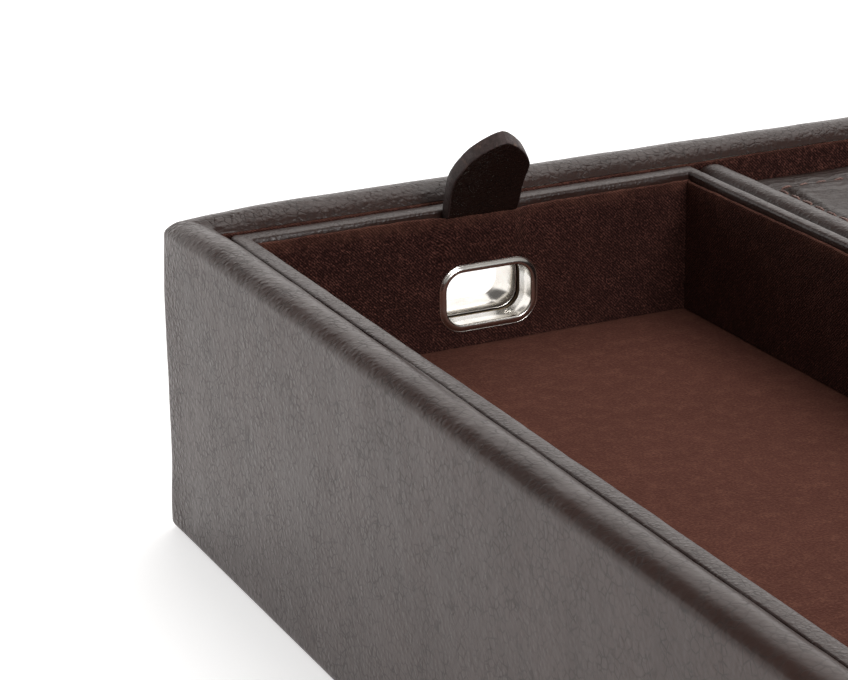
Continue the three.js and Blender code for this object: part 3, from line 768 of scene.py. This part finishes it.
def closed_card(name, P, body, slotname, replaces, mat):
    n, k = P.shape[0], P.shape[1]
    F = grid_faces(n, k, True, False).tolist()
    F += [[i * k for i in range(n)][::-1], [i * k + k - 1 for i in range(n)]]
    ob = make_mesh(name, P, F)
    bm = bmesh.new()
    bm.from_mesh(ob.data)
    bmesh.ops.triangulate(bm, faces=[f for f in bm.faces if len(f.verts) > 4])
    bmesh.ops.recalc_face_normals(bm, faces=bm.faces)
    bm.to_mesh(ob.data)
    bm.free()
    auto_smooth(ob, 55)
    return ob


CARD_B, CARD_F = 106.9, 106.1
TABX = -92.75


def cards():
    zt = 55.6

    def bulge(P):
        x, z = P[..., 0], P[..., 2]
        bx = 1 - sstep(5.8, 10.5, abs(x - TABX))
        bz = sstep(44.5, 52.5, z)
        b = bx * bz
        Q = P.copy()
        Q[..., 1] -= 1.34 * b
        Q[..., 1] -= 0.10 * sstep(30, 50, z) * (1 + vnoise(P * [1, 0, 1], 30, 61)) * 0.5
        Q[..., 2] += (0.16 * vnoise(P * [1, 0, 0], 24, 63) + 0.10 * vnoise(P * [1, 0, 0], 6, 65)) * sstep(50, 55.5, z) - 0.10 * sstep(50, 55.5, z)
        Q[..., 2] += (0.40 * (1 - sstep(-120, -92, x)) + 0.07 * vnoise(P * [1, 0, 0], 1.6, 67)) * sstep(50, 55.5, z)
        return Q

    def wob(seed, ax):
        def f(P):
            Q = P.copy()
            z = P[..., 2]
            m = [1, 0, 0] if ax == 0 else [0, 1, 0]
            Q[..., 2] += (0.16 * vnoise(P * m, 26, seed) + 0.09 * vnoise(P * m, 6, seed + 2) + 0.06 * vnoise(P * m, 1.9, seed + 4)) * sstep(50, 55.5, z) - 0.10 * sstep(50, 55.5, z)
            return Q
        return f

    x0, x1 = INS_X0 + 3.4, INS_X1 - 3.4
    P = slab_grid(x0, x1, 30.2, zt, CARD_B, CARD_F, 120, 30, bulge)
    ob = closed_card("card_back", P, "insert", "suede", None, M_CARD)
    cut(ob, slot_cutter(0.55, 100.0, 110.0))
    auto_smooth(ob, 55)
    piece(ob, "insert", "suede", ["insert_card_back"], M_CARD)
    P = slab_grid(x0, x1, 30.2, zt, -CARD_B, -CARD_F, 80, 18, wob(71, 0))
    ob = closed_card("card_front", P, "insert", "suede", None, M_CARD)
    piece(ob, "insert", "suede", ["insert_card_front"], M_CARD)
    # side cards are made along X, then turned
    for nm, xb, xf, seed, node in (("card_left", x0, x0 + 0.8, 81, "insert_card_left"), ("card_right", x1, x1 - 0.8, 91, "insert_card_right")):
        L = CARD_F - 0.1
        P = slab_grid(-L, L, 30.2, zt, xb, xf, 160, 18)
        P = P[..., [1, 0, 2]]
        P = wob(seed, 1)(P)
        ob = closed_card(nm, P, "insert", "suede", None, M_CARD)
        piece(ob, "insert", "suede", [node], M_CARD)


cards()


def floor_card():
    x0, x1, y = INS_X0 + 3.4, INS_X1 - 3.4, INS_Y - 3.4
    xs = np.linspace(x0, x1, 60)
    ys = np.linspace(-y, y, 130)
    X, Y = np.meshgrid(xs, ys, indexing="ij")
    T = np.stack([X, Y, np.full_like(X, 30.08)], -1)
    e = np.minimum(np.minimum(X - x0, x1 - X), np.minimum(Y + y, y - Y))
    T[..., 2] += (0.06 * vnoise(T, 34, 101) + 0.03 * vnoise(T, 9, 103) - 0.02) - 0.08 * (1 - sstep(0, 3.5, e))
    B = np.stack([X, Y, np.full_like(X, 29.1)], -1)
    n, k = X.shape
    F = grid_faces(n, k, False, False).tolist() + [q[::-1] for q in grid_faces(n, k, False, False, n * k).tolist()]
    loop = [i * k for i in range(n)] + [(n - 1) * k + j for j in range(1, k)] + [i * k + k - 1 for i in range(n - 2, -1, -1)] + [j for j in range(k - 2, 0, -1)]
    for a, b in zip(loop, loop[1:] + loop[:1]):
        F.append([a, a + n * k, b + n * k, b])
    ob = make_mesh("floor_card", np.concatenate([T.reshape(-1, 3), B.reshape(-1, 3)]), F)
    auto_smooth(ob, 50)
    piece(ob, "insert", "suede", ["insert_floor_card"], M_FLOOR_LIT)


floor_card()


# ------------------------------------------------------------------ suede linings of the box
def linings():
    def wob(seed, ax):
        def f(P):
            Q = P.copy()
            m = [1, 0, 0] if ax == 0 else [0, 1, 0]
            Q[..., 2] += (0.05 * vnoise(P * m, 22, seed) + 0.04 * vnoise(P * m, 5, seed + 1) - 0.06) * sstep(52, 57, P[..., 2])
            return Q
        return f
    x0, x1, y = X0 + 8.0, X1 - 8.0, Y1 - 8.0
    for nm, s, seed in (("lining_back_suede", 1, 401), ("lining_front_suede", -1, 405)):
        P = slab_grid(x0 + 1.0, x1 - 1.0, 5.4, 57.15, s * (y - 0.06), s * (y - 1.0), 150, 22, wob(seed, 0))
        ob = closed_card(nm, P, "box", "suede", None, M_LINING)
        if s > 0:
            cut(ob, slot_cutter(1.4, 106.0, 116.0))
            auto_smooth(ob, 55)
        piece(ob, "box", "suede", ["lining_back" if s > 0 else "lining_front"], M_LINING)
    for nm, xb, xf, seed, node in (("lining_left_suede", x0 + 0.06, x0 + 1.0, 411, "lining_left"), ("lining_right_suede", x1 - 0.06, x1 - 1.0, 415, "lining_right")):
        P = slab_grid(-y + 0.06, y - 0.06, 5.4, 57.15, xb, xf, 130, 22)
        P = wob(seed, 1)(P[..., [1, 0, 2]])
        ob = closed_card(nm, P, "box", "suede", None, M_LINING)
        piece(ob, "box", "suede", [node], M_LINING)


linings()


# ------------------------------------------------------------------ grommets
def grommet(name, lip_y, out, y_end, body, node):
    """sleeve with a rolled lip; lip_y is the cloth face, out is +1 where the lip faces +Y"""
    s = out
    prof = []                                  # (grow outwards from the clear opening, y)
    prof += [(0.0, y_end), (0.0, lip_y - s * 1.0), (0.0, lip_y - s * 0.3)]
    prof += [(0.34 - 0.34 * math.cos(t), lip_y + s * (-0.02 + 0.42 * math.sin(t))) for t in np.radians((15, 35, 55, 75, 90))]
    prof += [(0.55, lip_y + s * 0.41), (0.72, lip_y + s * 0.385), (0.95, lip_y + s * 0.28), (1.15, lip_y + s * 0.15), (1.27, lip_y + s * 0.06)]
    prof += [(1.31, lip_y + s * 0.055), (1.36, lip_y + s * 0.095), (1.42, lip_y + s * 0.10), (1.47, lip_y + s * 0.06), (1.48, lip_y + s * 0.0)]
    prof += [(1.40, lip_y - s * 0.02), (0.5, lip_y - s * 0.02), (0.5, lip_y - s * 0.6), (0.5, y_end), (0.35, y_end + (-s) * 0.08), (0.12, y_end + (-s) * 0.08)]
    n = 16
    P = []
    for g, y in prof:
        p = oblong(SLOT_W + 2 * g, SLOT_H + 2 * g, SLOT_R + g, n)
        # straight runs get points of their own
        q = []
        for a, b in zip(p, np.roll(p, -1, 0)):
            q.append(a)
            L = math.hypot(*(b - a))
            if L > 0.6:
                for k in range(1, 6):
                    q.append(a + (b - a) * k / 6)
        q = np.array(q)
        P.append(np.column_stack([q[:, 0] + SLOT_X, np.full(len(q), y), q[:, 1] + SLOT_Z]))
    L = min(len(a) for a in P)
    assert all(len(a) == L for a in P)
    P = np.array(P)
    ob = make_mesh(name, P, grid_faces(P.shape[0], P.shape[1], True, True))
    auto_smooth(ob, 60)
    piece(ob, body, "nickel", [node], M_NICKEL)


grommet("insert_grommet", 105.95, -1, 110.2, "insert", "insert_slot_grommet")
grommet("box_grommet", 119.75, 1, 112.1, "box", "box_slot_grommet")


# ------------------------------------------------------------------ pull tab
def pull_tab():
    x0, yb, zb, ph0, kc, t = TABX, 104.7, 55.5, 0.462, 0.017, 2.57
    L = 9 + (20.45 - 9) * 1.022
    # hand-cut outline in the flat, (distance along the leather, edge)
    left_s = [-5.6, 0.0, 1.0, 4.0, 6.5, 9.0, 10.4, 11.9, 13.5, 15.0, 16.5, 17.9, 19.0, 19.8, 20.22, 20.45]
    left_u = [-7.3, -7.15, -7.25, -7.65, -8.0, -8.27, -8.25, -7.95, -7.5, -6.95, -6.25, -5.25, -4.2, -3.2, -2.4, -1.55]
    right_s = [-5.6, 0.0, 2.3, 3.7, 5.7, 7.3, 9.1, 10.6, 11.8, 12.8, 14.1, 15.8, 17.6, 19.2, 20.0, 20.32, 20.45]
    right_u = [7.3, 7.2, 7.05, 6.9, 6.7, 6.6, 6.52, 6.42, 6.25, 5.9, 5.15, 3.9, 2.25, 0.5, -0.55, -1.15, -1.45]

    def smooth_line(ss, us):
        """cubic through the outline points"""
        sg = np.linspace(ss[0], ss[-1], 1200)
        m = np.gradient(us, ss)
        i = np.clip(np.searchsorted(ss, sg) - 1, 0, len(ss) - 2)
        ss, us, m = np.array(ss), np.array(us), np.array(m)
        h = ss[i + 1] - ss[i]
        q = (sg - ss[i]) / h
        val = ((1 + 2 * q) * (1 - q) ** 2 * us[i] + q * (1 - q) ** 2 * h * m[i] + q * q * (3 - 2 * q) * us[i + 1] + q * q * (q - 1) * h * m[i + 1])
        return sg, val
    left_s = [a if a < 9 else 9 + (a - 9) * 1.022 for a in left_s]
    right_s = [a if a < 9 else 9 + (a - 9) * 1.022 for a in right_s]
    left_u = [a * 1.015 for a in left_u]
    ls, lu = smooth_line(left_s, left_u)
    rs, ru = smooth_line(right_s, right_u)
    ss = np.linspace(-6.5, 26, 1600)
    ph = np.where(ss >= 0, ph0 + kc * ss, ph0 * sstep(-2.6, 0.3, ss) / sstep(-2.6, 0.3, 0.0))
    ph = np.where(ss < 0, np.clip(ph, 0, ph0), ph)
    ds = ss[1] - ss[0]
    y = np.concatenate([[0], np.cumsum(-np.sin(ph[:-1]) * ds)])
    z = np.concatenate([[0], np.cumsum(np.cos(ph[:-1]) * ds)])
    i0 = int(np.argmin(abs(ss)))
    y -= y[i0]
    z -= z[i0]
    yc = yb + y + np.cos(ph) * t / 2                              # centre line of the leather
    zc = zb + z + np.sin(ph) * t / 2
    e = 15.5
    rows = np.concatenate([np.linspace(-5.6, e, 62), e + (L - e) * np.sin(np.radians(np.linspace(3, 90, 34)))])
    M = 34
    P = []
    for s in rows:
        ul, ur = float(np.interp(s, ls, lu)), float(np.interp(s, rs, ru))
        if ur - ul < 0.12:
            ul, ur = -1.56, -1.44
        jl = 0.07 * float(vnoise(np.array([[s, 3.0, 1.0]]), 1.5, 221)[0]) + 0.05 * float(vnoise(np.array([[s, 9.0, 1.0]]), 0.7, 223)[0])
        jr = 0.07 * float(vnoise(np.array([[s, 30.0, 1.0]]), 1.5, 225)[0]) + 0.05 * float(vnoise(np.array([[s, 90.0, 1.0]]), 0.7, 227)[0])
        kk = float(sstep(1.0, 4.0, s)) * float(1 - sstep(19.8, 20.6, s))
        c, w = (ul + jl * kk + ur + jr * kk) / 2, (ur + jr * kk - ul - jl * kk) / 2
        tk = 1.05 + (t - 1.05) * float(sstep(-2.2, 1.4, s))
        r = min(0.24, w * 0.9, tk * 0.45)
        us = np.linspace(-(w - r), w - r, M)
        loop = [(u, -tk / 2) for u in us]
        loop += [(w - r + r * math.sin(q), -(tk / 2 - r) - r * math.cos(q)) for q in np.radians((30, 60, 90))]
        loop += [(w - r + r * math.cos(q), (tk / 2 - r) + r * math.sin(q)) for q in np.radians((0, 30, 60))]
        loop += [(u, tk / 2) for u in us[::-1]]
        loop += [(-(w - r) - r * math.sin(q), (tk / 2 - r) + r * math.cos(q)) for q in np.radians((30, 60, 90))]
        loop += [(-(w - r) - r * math.cos(q), -(tk / 2 - r) - r * math.sin(q)) for q in np.radians((0, 30, 60))]
        Yc, Zc, Ph = np.interp(s, ss, yc), np.interp(s, ss, zc), np.interp(s, ss, ph)
        P.append([(x0 + c + u, Yc + dpt * math.cos(Ph), Zc + dpt * math.sin(Ph)) for u, dpt in loop])
    P = np.array(P)
    # the leather behind the card stays inside its pocket
    lowk = 1 - sstep(53.5, 56.2, P[..., 2])
    P[..., 1] += lowk * (np.clip(P[..., 1], 105.62, 106.86) - P[..., 1])
    N = grid_normals(P, False, True)
    d = (0.05 * vnoise(P, 5, 201) + 0.03 * vnoise(P, 1.6, 203)) * sstep(55.5, 57, P[..., 2])
    P = P + N * d[..., None]
    n, k = P.shape[:2]
    F = grid_faces(n, k, False, True).tolist()
    F += [list(range(k))[::-1], [(n - 1) * k + j for j in range(k)]]
    ob = make_mesh("pull_tab_leather", P, F)
    put(ob, M_TAB, M_TABEDGE)
    bm = bmesh.new()
    bm.from_mesh(ob.data)
    bm.faces.ensure_lookup_table()
    nq = (n - 1) * k
    for f in bm.faces:
        i = f.index
        if i >= nq:
            f.material_index = 1
            continue
        j = i % k
        edge = (M - 1 <= j < M + 5) or (j >= 2 * M + 5)
        f.material_index = 1 if edge else 0
    big = [f for f in bm.faces if len(f.verts) > 4]
    bmesh.ops.triangulate(bm, faces=big)
    bmesh.ops.recalc_face_normals(bm, faces=bm.faces)
    bm.to_mesh(ob.data)
    bm.free()
    auto_smooth(ob, 50)
    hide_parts("pull_tab", "pull_tab_root")
    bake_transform(ob)


pull_tab()


# ------------------------------------------------------------------ padded tray floor
PAD_X0, PAD_X1, PAD_Y = TX0, TX1, YI


def sim_pad():
    """inflates the stitched leather by cloth simulation; returns axes and the heights found"""
    nx, ny = 72, 88
    xs = np.linspace(PAD_X0 + 0.6, PAD_X1 - 0.6, nx)
    ys = np.linspace(-PAD_Y + 0.6, PAD_Y - 0.6, ny)
    # the nearest grid lines move onto the stitch lines
    for arr, tgt in ((xs, PAD_X0 + STITCH_IN), (xs, PAD_X1 - STITCH_IN), (ys, -PAD_Y + STITCH_IN), (ys, PAD_Y - STITCH_IN)):
        arr[int(np.argmin(abs(arr - tgt)))] = tgt
    ix = [int(np.argmin(abs(xs - t))) for t in (PAD_X0 + STITCH_IN, PAD_X1 - STITCH_IN)]
    iy = [int(np.argmin(abs(ys - t))) for t in (-PAD_Y + STITCH_IN, PAD_Y - STITCH_IN)]
    X, Y = np.meshgrid(xs, ys, indexing="ij")
    Z = np.full_like(X, 52.35)
    Z[0, :] = Z[-1, :] = 51.9
    Z[:, 0] = Z[:, -1] = 51.9
    Z += 0.12 * vnoise(np.stack([X * 0.25, Y, Z * 0], -1), 4.5, 301)
    stitch = np.zeros_like(X, bool)
    stitch[ix[0], iy[0]:iy[1] + 1] = True
    stitch[ix[1], iy[0]:iy[1] + 1] = True
    stitch[ix[0]:ix[1] + 1, iy[0]] = True
    stitch[ix[0]:ix[1] + 1, iy[1]] = True
    Z[stitch] = 52.25
    pin = stitch.copy()
    pin[0, :] = pin[-1, :] = True
    pin[:, 0] = pin[:, -1] = True
    V = np.concatenate([np.stack([X, Y, Z], -1).reshape(-1, 3), np.stack([X, Y, np.full_like(X, 48.5)], -1).reshape(-1, 3)])
    n, k = X.shape
    F = grid_faces(n, k, False, False).tolist() + [q[::-1] for q in grid_faces(n, k, False, False, n * k).tolist()]
    loop = [i * k for i in range(n)] + [(n - 1) * k + j for j in range(1, k)] + [i * k + k - 1 for i in range(n - 2, -1, -1)] + [j for j in range(k - 2, 0, -1)]
    for a, b in zip(loop, loop[1:] + loop[:1]):
        F.append([a, a + n * k, b + n * k, b])
    ob = make_mesh("pad_sim", V, F)
    vg = ob.vertex_groups.new(name="pin")
    pins = np.concatenate([np.nonzero(pin.reshape(-1))[0], np.arange(n * k, 2 * n * k)])
    vg.add([int(q) for q in pins], 1.0, "REPLACE")
    md = ob.modifiers.new("cloth", "CLOTH")
    s = md.settings
    s.quality = 6
    s.mass = 0.35
    s.tension_stiffness = s.compression_stiffness = 18
    s.shear_stiffness = 8
    s.bending_stiffness = 0.35
    s.tension_damping = s.compression_damping = s.shear_damping = 8
    s.air_damping = 3
    s.vertex_group_mass = "pin"
    s.use_pressure = True
    s.uniform_pressure_force = 4.0
    s.shrink_min = -0.012
    s.effector_weights.gravity = 0
    md.collision_settings.use_collision = False
    md.collision_settings.use_self_collision = False
    sc = bpy.context.scene
    md.point_cache.frame_start, md.point_cache.frame_end = 1, 22
    for f in range(1, 21):
        sc.frame_set(f)
    dg = bpy.context.evaluated_depsgraph_get()
    me = ob.evaluated_get(dg).to_mesh()
    co = np.empty(len(me.vertices) * 3)
    me.vertices.foreach_get("co", co)
    H = co.reshape(-1, 3)[: n * k, 2].reshape(n, k) / MM
    ob.evaluated_get(dg).to_mesh_clear()
    sc.frame_set(1)
    me = ob.data
    bpy.data.objects.remove(ob)
    bpy.data.meshes.remove(me)
    print("pad sim heights", H.min().round(3), H.max().round(3), np.median(H).round(3))
    H = np.where(pin, H, np.clip(H, 52.0, 53.45))                 # cap on how far a point may move
    return xs, ys, H


def fine_axis(lo, hi, lines, base=1.7, fine=0.42, reach=2.2):
    out = [lo]
    x = lo
    while x < hi - 1e-6:
        d = min(abs(x - q) for q in lines)
        dn = min([q - x for q in lines if q > x] + [1e9])
        st = fine if d < reach or dn < reach + 0.3 else base
        x = x + st
        out.append(min(x, hi))
    out = np.array(out)
    out[-1] = hi
    return out


def tray_pad():
    sx, sy, H = sim_pad()
    lx = [PAD_X0 + STITCH_IN, PAD_X1 - STITCH_IN]
    ly = [-PAD_Y + STITCH_IN, PAD_Y - STITCH_IN]
    xs = fine_axis(PAD_X0 + 0.6, PAD_X1 - 0.6, lx)
    ys = fine_axis(-PAD_Y + 0.6, PAD_Y - 0.6, ly)
    X, Y = np.meshgrid(xs, ys, indexing="ij")

    def interp(xq, yq):
        i = np.clip(np.searchsorted(sx, xq) - 1, 0, len(sx) - 2)
        j = np.clip(np.searchsorted(sy, yq) - 1, 0, len(sy) - 2)
        fx = np.clip((xq - sx[i]) / (sx[i + 1] - sx[i]), 0, 1)
        fy = np.clip((yq - sy[j]) / (sy[j + 1] - sy[j]), 0, 1)
        return (H[i, j] * (1 - fx) * (1 - fy) + H[i + 1, j] * fx * (1 - fy) + H[i, j + 1] * (1 - fx) * fy + H[i + 1, j + 1] * fx * fy)
    # smooth the coarse cells a little
    Z = 0
    wsum = 0
    for ox in (-0.9, 0, 0.9):
        for oy in (-0.9, 0, 0.9):
            w = (1.0 if ox == 0 else 0.5) * (1.0 if oy == 0 else 0.5)
            Z = Z + w * interp(np.clip(X + ox, sx[0], sx[-1]), np.clip(Y + oy, sy[0], sy[-1]))
            wsum += w
    Z = Z / wsum
    G = np.stack([X, Y, np.zeros_like(X)], -1)
    ins = np.minimum(np.minimum(X - lx[0], lx[1] - X), np.minimum(Y - ly[0], ly[1] - Y))       # inside the stitch line > 0
    # distance from the stitch line and the place along it
    dl = abs(ins)
    corner = np.maximum(np.maximum(lx[0] - X, X - lx[1]), np.maximum(ly[0] - Y, Y - ly[1]))
    along = np.where(np.minimum(abs(X - lx[0]), abs(X - lx[1])) < np.minimum(abs(Y - ly[0]), abs(Y - ly[1])), Y, X)
    off = np.where(along is X, lx[0], ly[0])
    ph = (along - np.where(np.minimum(abs(X - lx[0]), abs(X - lx[1])) < np.minimum(abs(Y - ly[0]), abs(Y - ly[1])), ly[0], lx[0])) / 4.0
    pull = 0.5 + 0.5 * np.cos(2 * np.pi * ph)                      # 1 at the needle holes
    Z -= (0.42 + 0.20 * pull) * np.exp(-(dl / 0.75) ** 2)
    Z += 0.16 * np.exp(-((dl - 2.1) / 1.1) ** 2) * (1 - 0.5 * pull)
    # puckers that fade away from the stitching
    Z += 0.10 * np.cos(2 * np.pi * ph + 0.9 * vnoise(G, 8, 311)) * np.exp(-np.clip(ins, 0, None) / 4.5) * sstep(0.8, 2.2, ins) * -1
    # fine drawn wrinkles inside the stitching, mostly along X
    inn = sstep(1.0, 4.0, ins)
    warp = G + np.stack([0 * X, 2.2 * vnoise(G, 17, 321), 0 * X], -1)
    wr = vnoise(warp * [0.085, 1.0, 0], 1.9, 323) + 0.6 * vnoise(warp * [0.12, 1.0, 0], 3.6, 325)
    Z += inn * 0.085 * wr * (0.6 + 0.4 * vnoise(G, 40, 327))
    Z += inn * (0.10 * vnoise(G, 28, 331) + 0.05 * vnoise(G, 11, 333))
    Z += (1 - inn) * 0.03 * vnoise(G, 5, 335)
    Z = np.clip(Z, 51.5, 53.75)
    n, k = X.shape
    top = np.stack([X, Y, Z], -1)
    nt = n * k
    loop = [i * k for i in range(n)] + [(n - 1) * k + j for j in range(1, k)] + [i * k + k - 1 for i in range(n - 2, -1, -1)] + [j for j in range(k - 2, 0, -1)]
    V = [top.reshape(-1, 3)]
    edge = top.reshape(-1, 3)[loop]
    cx, cy = (PAD_X0 + PAD_X1) / 2, 0.0

    def offset(pts, d, z):
        q = pts.copy()
        q[:, 0] = np.where(abs(pts[:, 0] - (PAD_X0 + 0.6)) < 1e-6, pts[:, 0] - d, np.where(abs(pts[:, 0] - (PAD_X1 - 0.6)) < 1e-6, pts[:, 0] + d, pts[:, 0]))
        q[:, 1] = np.where(abs(pts[:, 1] + (PAD_Y - 0.6)) < 1e-6, pts[:, 1] - d, np.where(abs(pts[:, 1] - (PAD_Y - 0.6)) < 1e-6, pts[:, 1] + d, pts[:, 1]))
        q[:, 2] = z
        return q
    skirt = [offset(edge, 0.38, edge[:, 2] - 0.22), offset(edge, 0.55, edge[:, 2] - 0.7), offset(edge, 0.6, 49.5), offset(edge, 0.6, 46.6),
             offset(edge, -0.35, 46.6), offset(edge, -0.35, 51.0)]
    V += skirt
    under = top.copy()
    under[..., 2] = np.minimum(Z - 1.0, 51.05 + 0 * Z)
    F = grid_faces(n, k, False, False).tolist()
    m = len(loop)
    prev = loop
    off = nt
    for q in skirt:
        cur = list(range(off, off + m))
        for a in range(m):
            b = (a + 1) % m
            F.append([prev[a], cur[a], cur[b], prev[b]])
        prev = cur
        off += m
    # underside, inset where the foam is, in the same grid
    un = under.reshape(-1, 3)
    V.append(un)
    F += [[c + off for c in q][::-1] for q in grid_faces(n, k, False, False).tolist()]
    cur = [c + off for c in loop]
    for a in range(m):
        b = (a + 1) % m
        F.append([prev[a], cur[a], cur[b], prev[b]])
    ob = make_mesh("tray_pad", np.concatenate(V), F)
    bm = bmesh.new()
    bm.from_mesh(ob.data)
    bmesh.ops.recalc_face_normals(bm, faces=bm.faces)
    bm.to_mesh(ob.data)
    bm.free()
    auto_smooth(ob, 55)
    piece(ob, "box", "leather", ["pad_leather"], M_PAD)

    # stitches, each a short arched length of thread that dives into its holes
    rng = np.random.default_rng(7)

    def height(x, y):
        i = int(np.clip(np.searchsorted(xs, x), 1, len(xs) - 1))
        j = int(np.clip(np.searchsorted(ys, y), 1, len(ys) - 1))
        fx = (x - xs[i - 1]) / (xs[i] - xs[i - 1])
        fy = (y - ys[j - 1]) / (ys[j] - ys[j - 1])
        return (Z[i - 1, j - 1] * (1 - fx) * (1 - fy) + Z[i, j - 1] * fx * (1 - fy) + Z[i - 1, j] * (1 - fx) * fy + Z[i, j] * fx * fy)
    parts = []
    corners = [(lx[0], ly[0]), (lx[1], ly[0]), (lx[1], ly[1]), (lx[0], ly[1])]
    for (ax, ay), (bx, by) in zip(corners, corners[1:] + corners[:1]):
        Ls = math.hypot(bx - ax, by - ay)
        ns = int(round(Ls / 4.0))
        dx, dy = (bx - ax) / Ls, (by - ay) / Ls
        px, py = -dy, dx
        for q in range(ns):
            s0, s1 = q * Ls / ns + 0.50, (q + 1) * Ls / ns - 0.50
            sl = 0.16 + 0.05 * rng.standard_normal()
            rr = 0.30 + 0.015 * rng.standard_normal()
            ring_pts = []
            K = 9
            for a in range(K):
                t = a / (K - 1)
                s = s0 + (s1 - s0) * t
                o = sl * (2 * t - 1)
                x, y = ax + dx * s + px * o, ay + dy * s + py * o
                zc = height(x, y) + 0.16 + 0.15 * math.sin(math.pi * t) - 0.55 * (abs(2 * t - 1) ** 6)
                r = rr * (0.55 + 0.45 * math.sin(math.pi * min(max(t, 0.08), 0.92)) ** 0.5)
                for b in range(8):
                    w = 2 * math.pi * b / 8 + 2.4 * t
                    ring_pts.append((x + px * r * 1.12 * math.cos(w), y + py * r * 1.12 * math.cos(w), zc + r * 0.9 * math.sin(w)))
            F2 = grid_faces(K, 8, False, True).tolist() + [list(range(8))[::-1], [(K - 1) * 8 + b for b in range(8)]]
            parts.append((ring_pts, F2))
    V2, F2 = stack_mesh(parts)
    st = make_mesh("pad_stitches", V2, F2)
    bm = bmesh.new()
    bm.from_mesh(st.data)
    bmesh.ops.recalc_face_normals(bm, faces=bm.faces)
    bm.to_mesh(st.data)
    bm.free()
    piece(st, "box", "thread", ["pad_stitching"], M_THREAD)


tray_pad()


# ------------------------------------------------------------------ stage, light, view
def stage():
    me = bpy.data.meshes.new("stage_floor")
    s = 4.0
    me.from_pydata([(-s, -s, -0.0003), (s, -s, -0.0003), (s, s, -0.0003), (-s, s, -0.0003)], [], [(0, 1, 2, 3)])
    ob = bpy.data.objects.new("stage_floor", me)
    bpy.context.scene.collection.objects.link(ob)
    m = bpy.data.materials.new("stage_floor")
    m.use_nodes = True
    b = m.node_tree.nodes["Principled BSDF"]
    b.inputs["Base Color"].default_value = (0.93, 0.93, 0.93, 1)
    b.inputs["Roughness"].default_value = 0.9
    b.inputs["Specular IOR Level"].default_value = 0.0
    b.inputs["Emission Color"].default_value = (1, 1, 1, 1)
    b.inputs["Emission Strength"].default_value = 0.63
    ob.data.materials.append(m)

    w = bpy.data.worlds.new("studio")
    bpy.context.scene.world = w
    w.use_nodes = True
    nt = w.node_tree
    nt.nodes.clear()
    out = nt.nodes.new("ShaderNodeOutputWorld")
    tc = nt.nodes.new("ShaderNodeTexCoord")
    sp = nt.nodes.new("ShaderNodeSeparateXYZ")
    nt.links.new(tc.outputs["Generated"], sp.inputs[0])

    def rng(v, a, b, c, d):
        n = nt.nodes.new("ShaderNodeMapRange")
        n.interpolation_type = "SMOOTHSTEP"
        for k, q in zip(("From Min", "From Max", "To Min", "To Max"), (a, b, c, d)):
            n.inputs[k].default_value = q
        nt.links.new(v, n.inputs["Value"])
        return n.outputs["Result"]

    def op(kind, a, b):
        n = nt.nodes.new("ShaderNodeMath")
        n.operation = kind
        for k, q in enumerate((a, b)):
            if isinstance(q, float):
                n.inputs[k].default_value = q
            else:
                nt.links.new(q, n.inputs[k])
        return n.outputs[0]
    # lit sweep behind, higher on the right; a broad soft box overhead; a dim room elsewhere
    zr = op("SUBTRACT", sp.outputs[2], rng(sp.outputs[0], 0.04, 0.42, 0.0, 0.36))
    back = op("MULTIPLY", rng(sp.outputs[1], 0.10, 0.45, 0.0, 1.26), rng(zr, 0.31, 0.50, 1.0, 0.0))
    dt = nt.nodes.new("ShaderNodeVectorMath")
    dt.operation = "DOT_PRODUCT"
    nt.links.new(tc.outputs["Generated"], dt.inputs[0])
    dt.inputs[1].default_value = (0.348, 0.201, 0.916)
    over = rng(dt.outputs["Value"], 0.90, 0.955, 0.0, 2.50)
    front = op("MULTIPLY", rng(sp.outputs[1], -0.45, -0.05, 0.22, 0.0), rng(sp.outputs[0], -0.6, 0.2, 0.4, 1.0))
    total = op("ADD", op("ADD", back, over), op("ADD", front, 0.14))
    lit = nt.nodes.new("ShaderNodeBackground")
    nt.links.new(total, lit.inputs["Strength"])
    lit.inputs["Color"].default_value = (1.0, 0.975, 0.955, 1)
    seen = nt.nodes.new("ShaderNodeBackground")
    seen.inputs["Color"].default_value = (1, 1, 1, 1)
    seen.inputs["Strength"].default_value = 1.0
    lp = nt.nodes.new("ShaderNodeLightPath")
    mx = nt.nodes.new("ShaderNodeMixShader")
    nt.links.new(lp.outputs["Is Camera Ray"], mx.inputs[0])
    nt.links.new(lit.outputs[0], mx.inputs[1])
    nt.links.new(seen.outputs[0], mx.inputs[2])
    nt.links.new(mx.outputs[0], out.inputs[0])

    def area(name, loc, target, sx, sy, power, col=(1, 1, 1)):
        L = bpy.data.lights.new(name, "AREA")
        L.shape = "RECTANGLE"
        L.size, L.size_y = sx, sy
        L.energy = power
        L.color = col
        o = bpy.data.objects.new(name, L)
        o.location = loc
        d = Vector(target) - Vector(loc)
        o.rotation_euler = d.to_track_quat("-Z", "Y").to_euler()
        bpy.context.scene.collection.objects.link(o)
    area("key_box", (0.02, -0.85, 0.47), (-0.06, 0.05, 0.04), 0.34, 0.34, 4.4)

    vs = bpy.context.scene.view_settings
    vs.view_transform = "Standard"
    vs.look = "None"
    vs.exposure = 0.0
    vs.gamma = 1.0


stage()

bpy.context.view_layer.update()
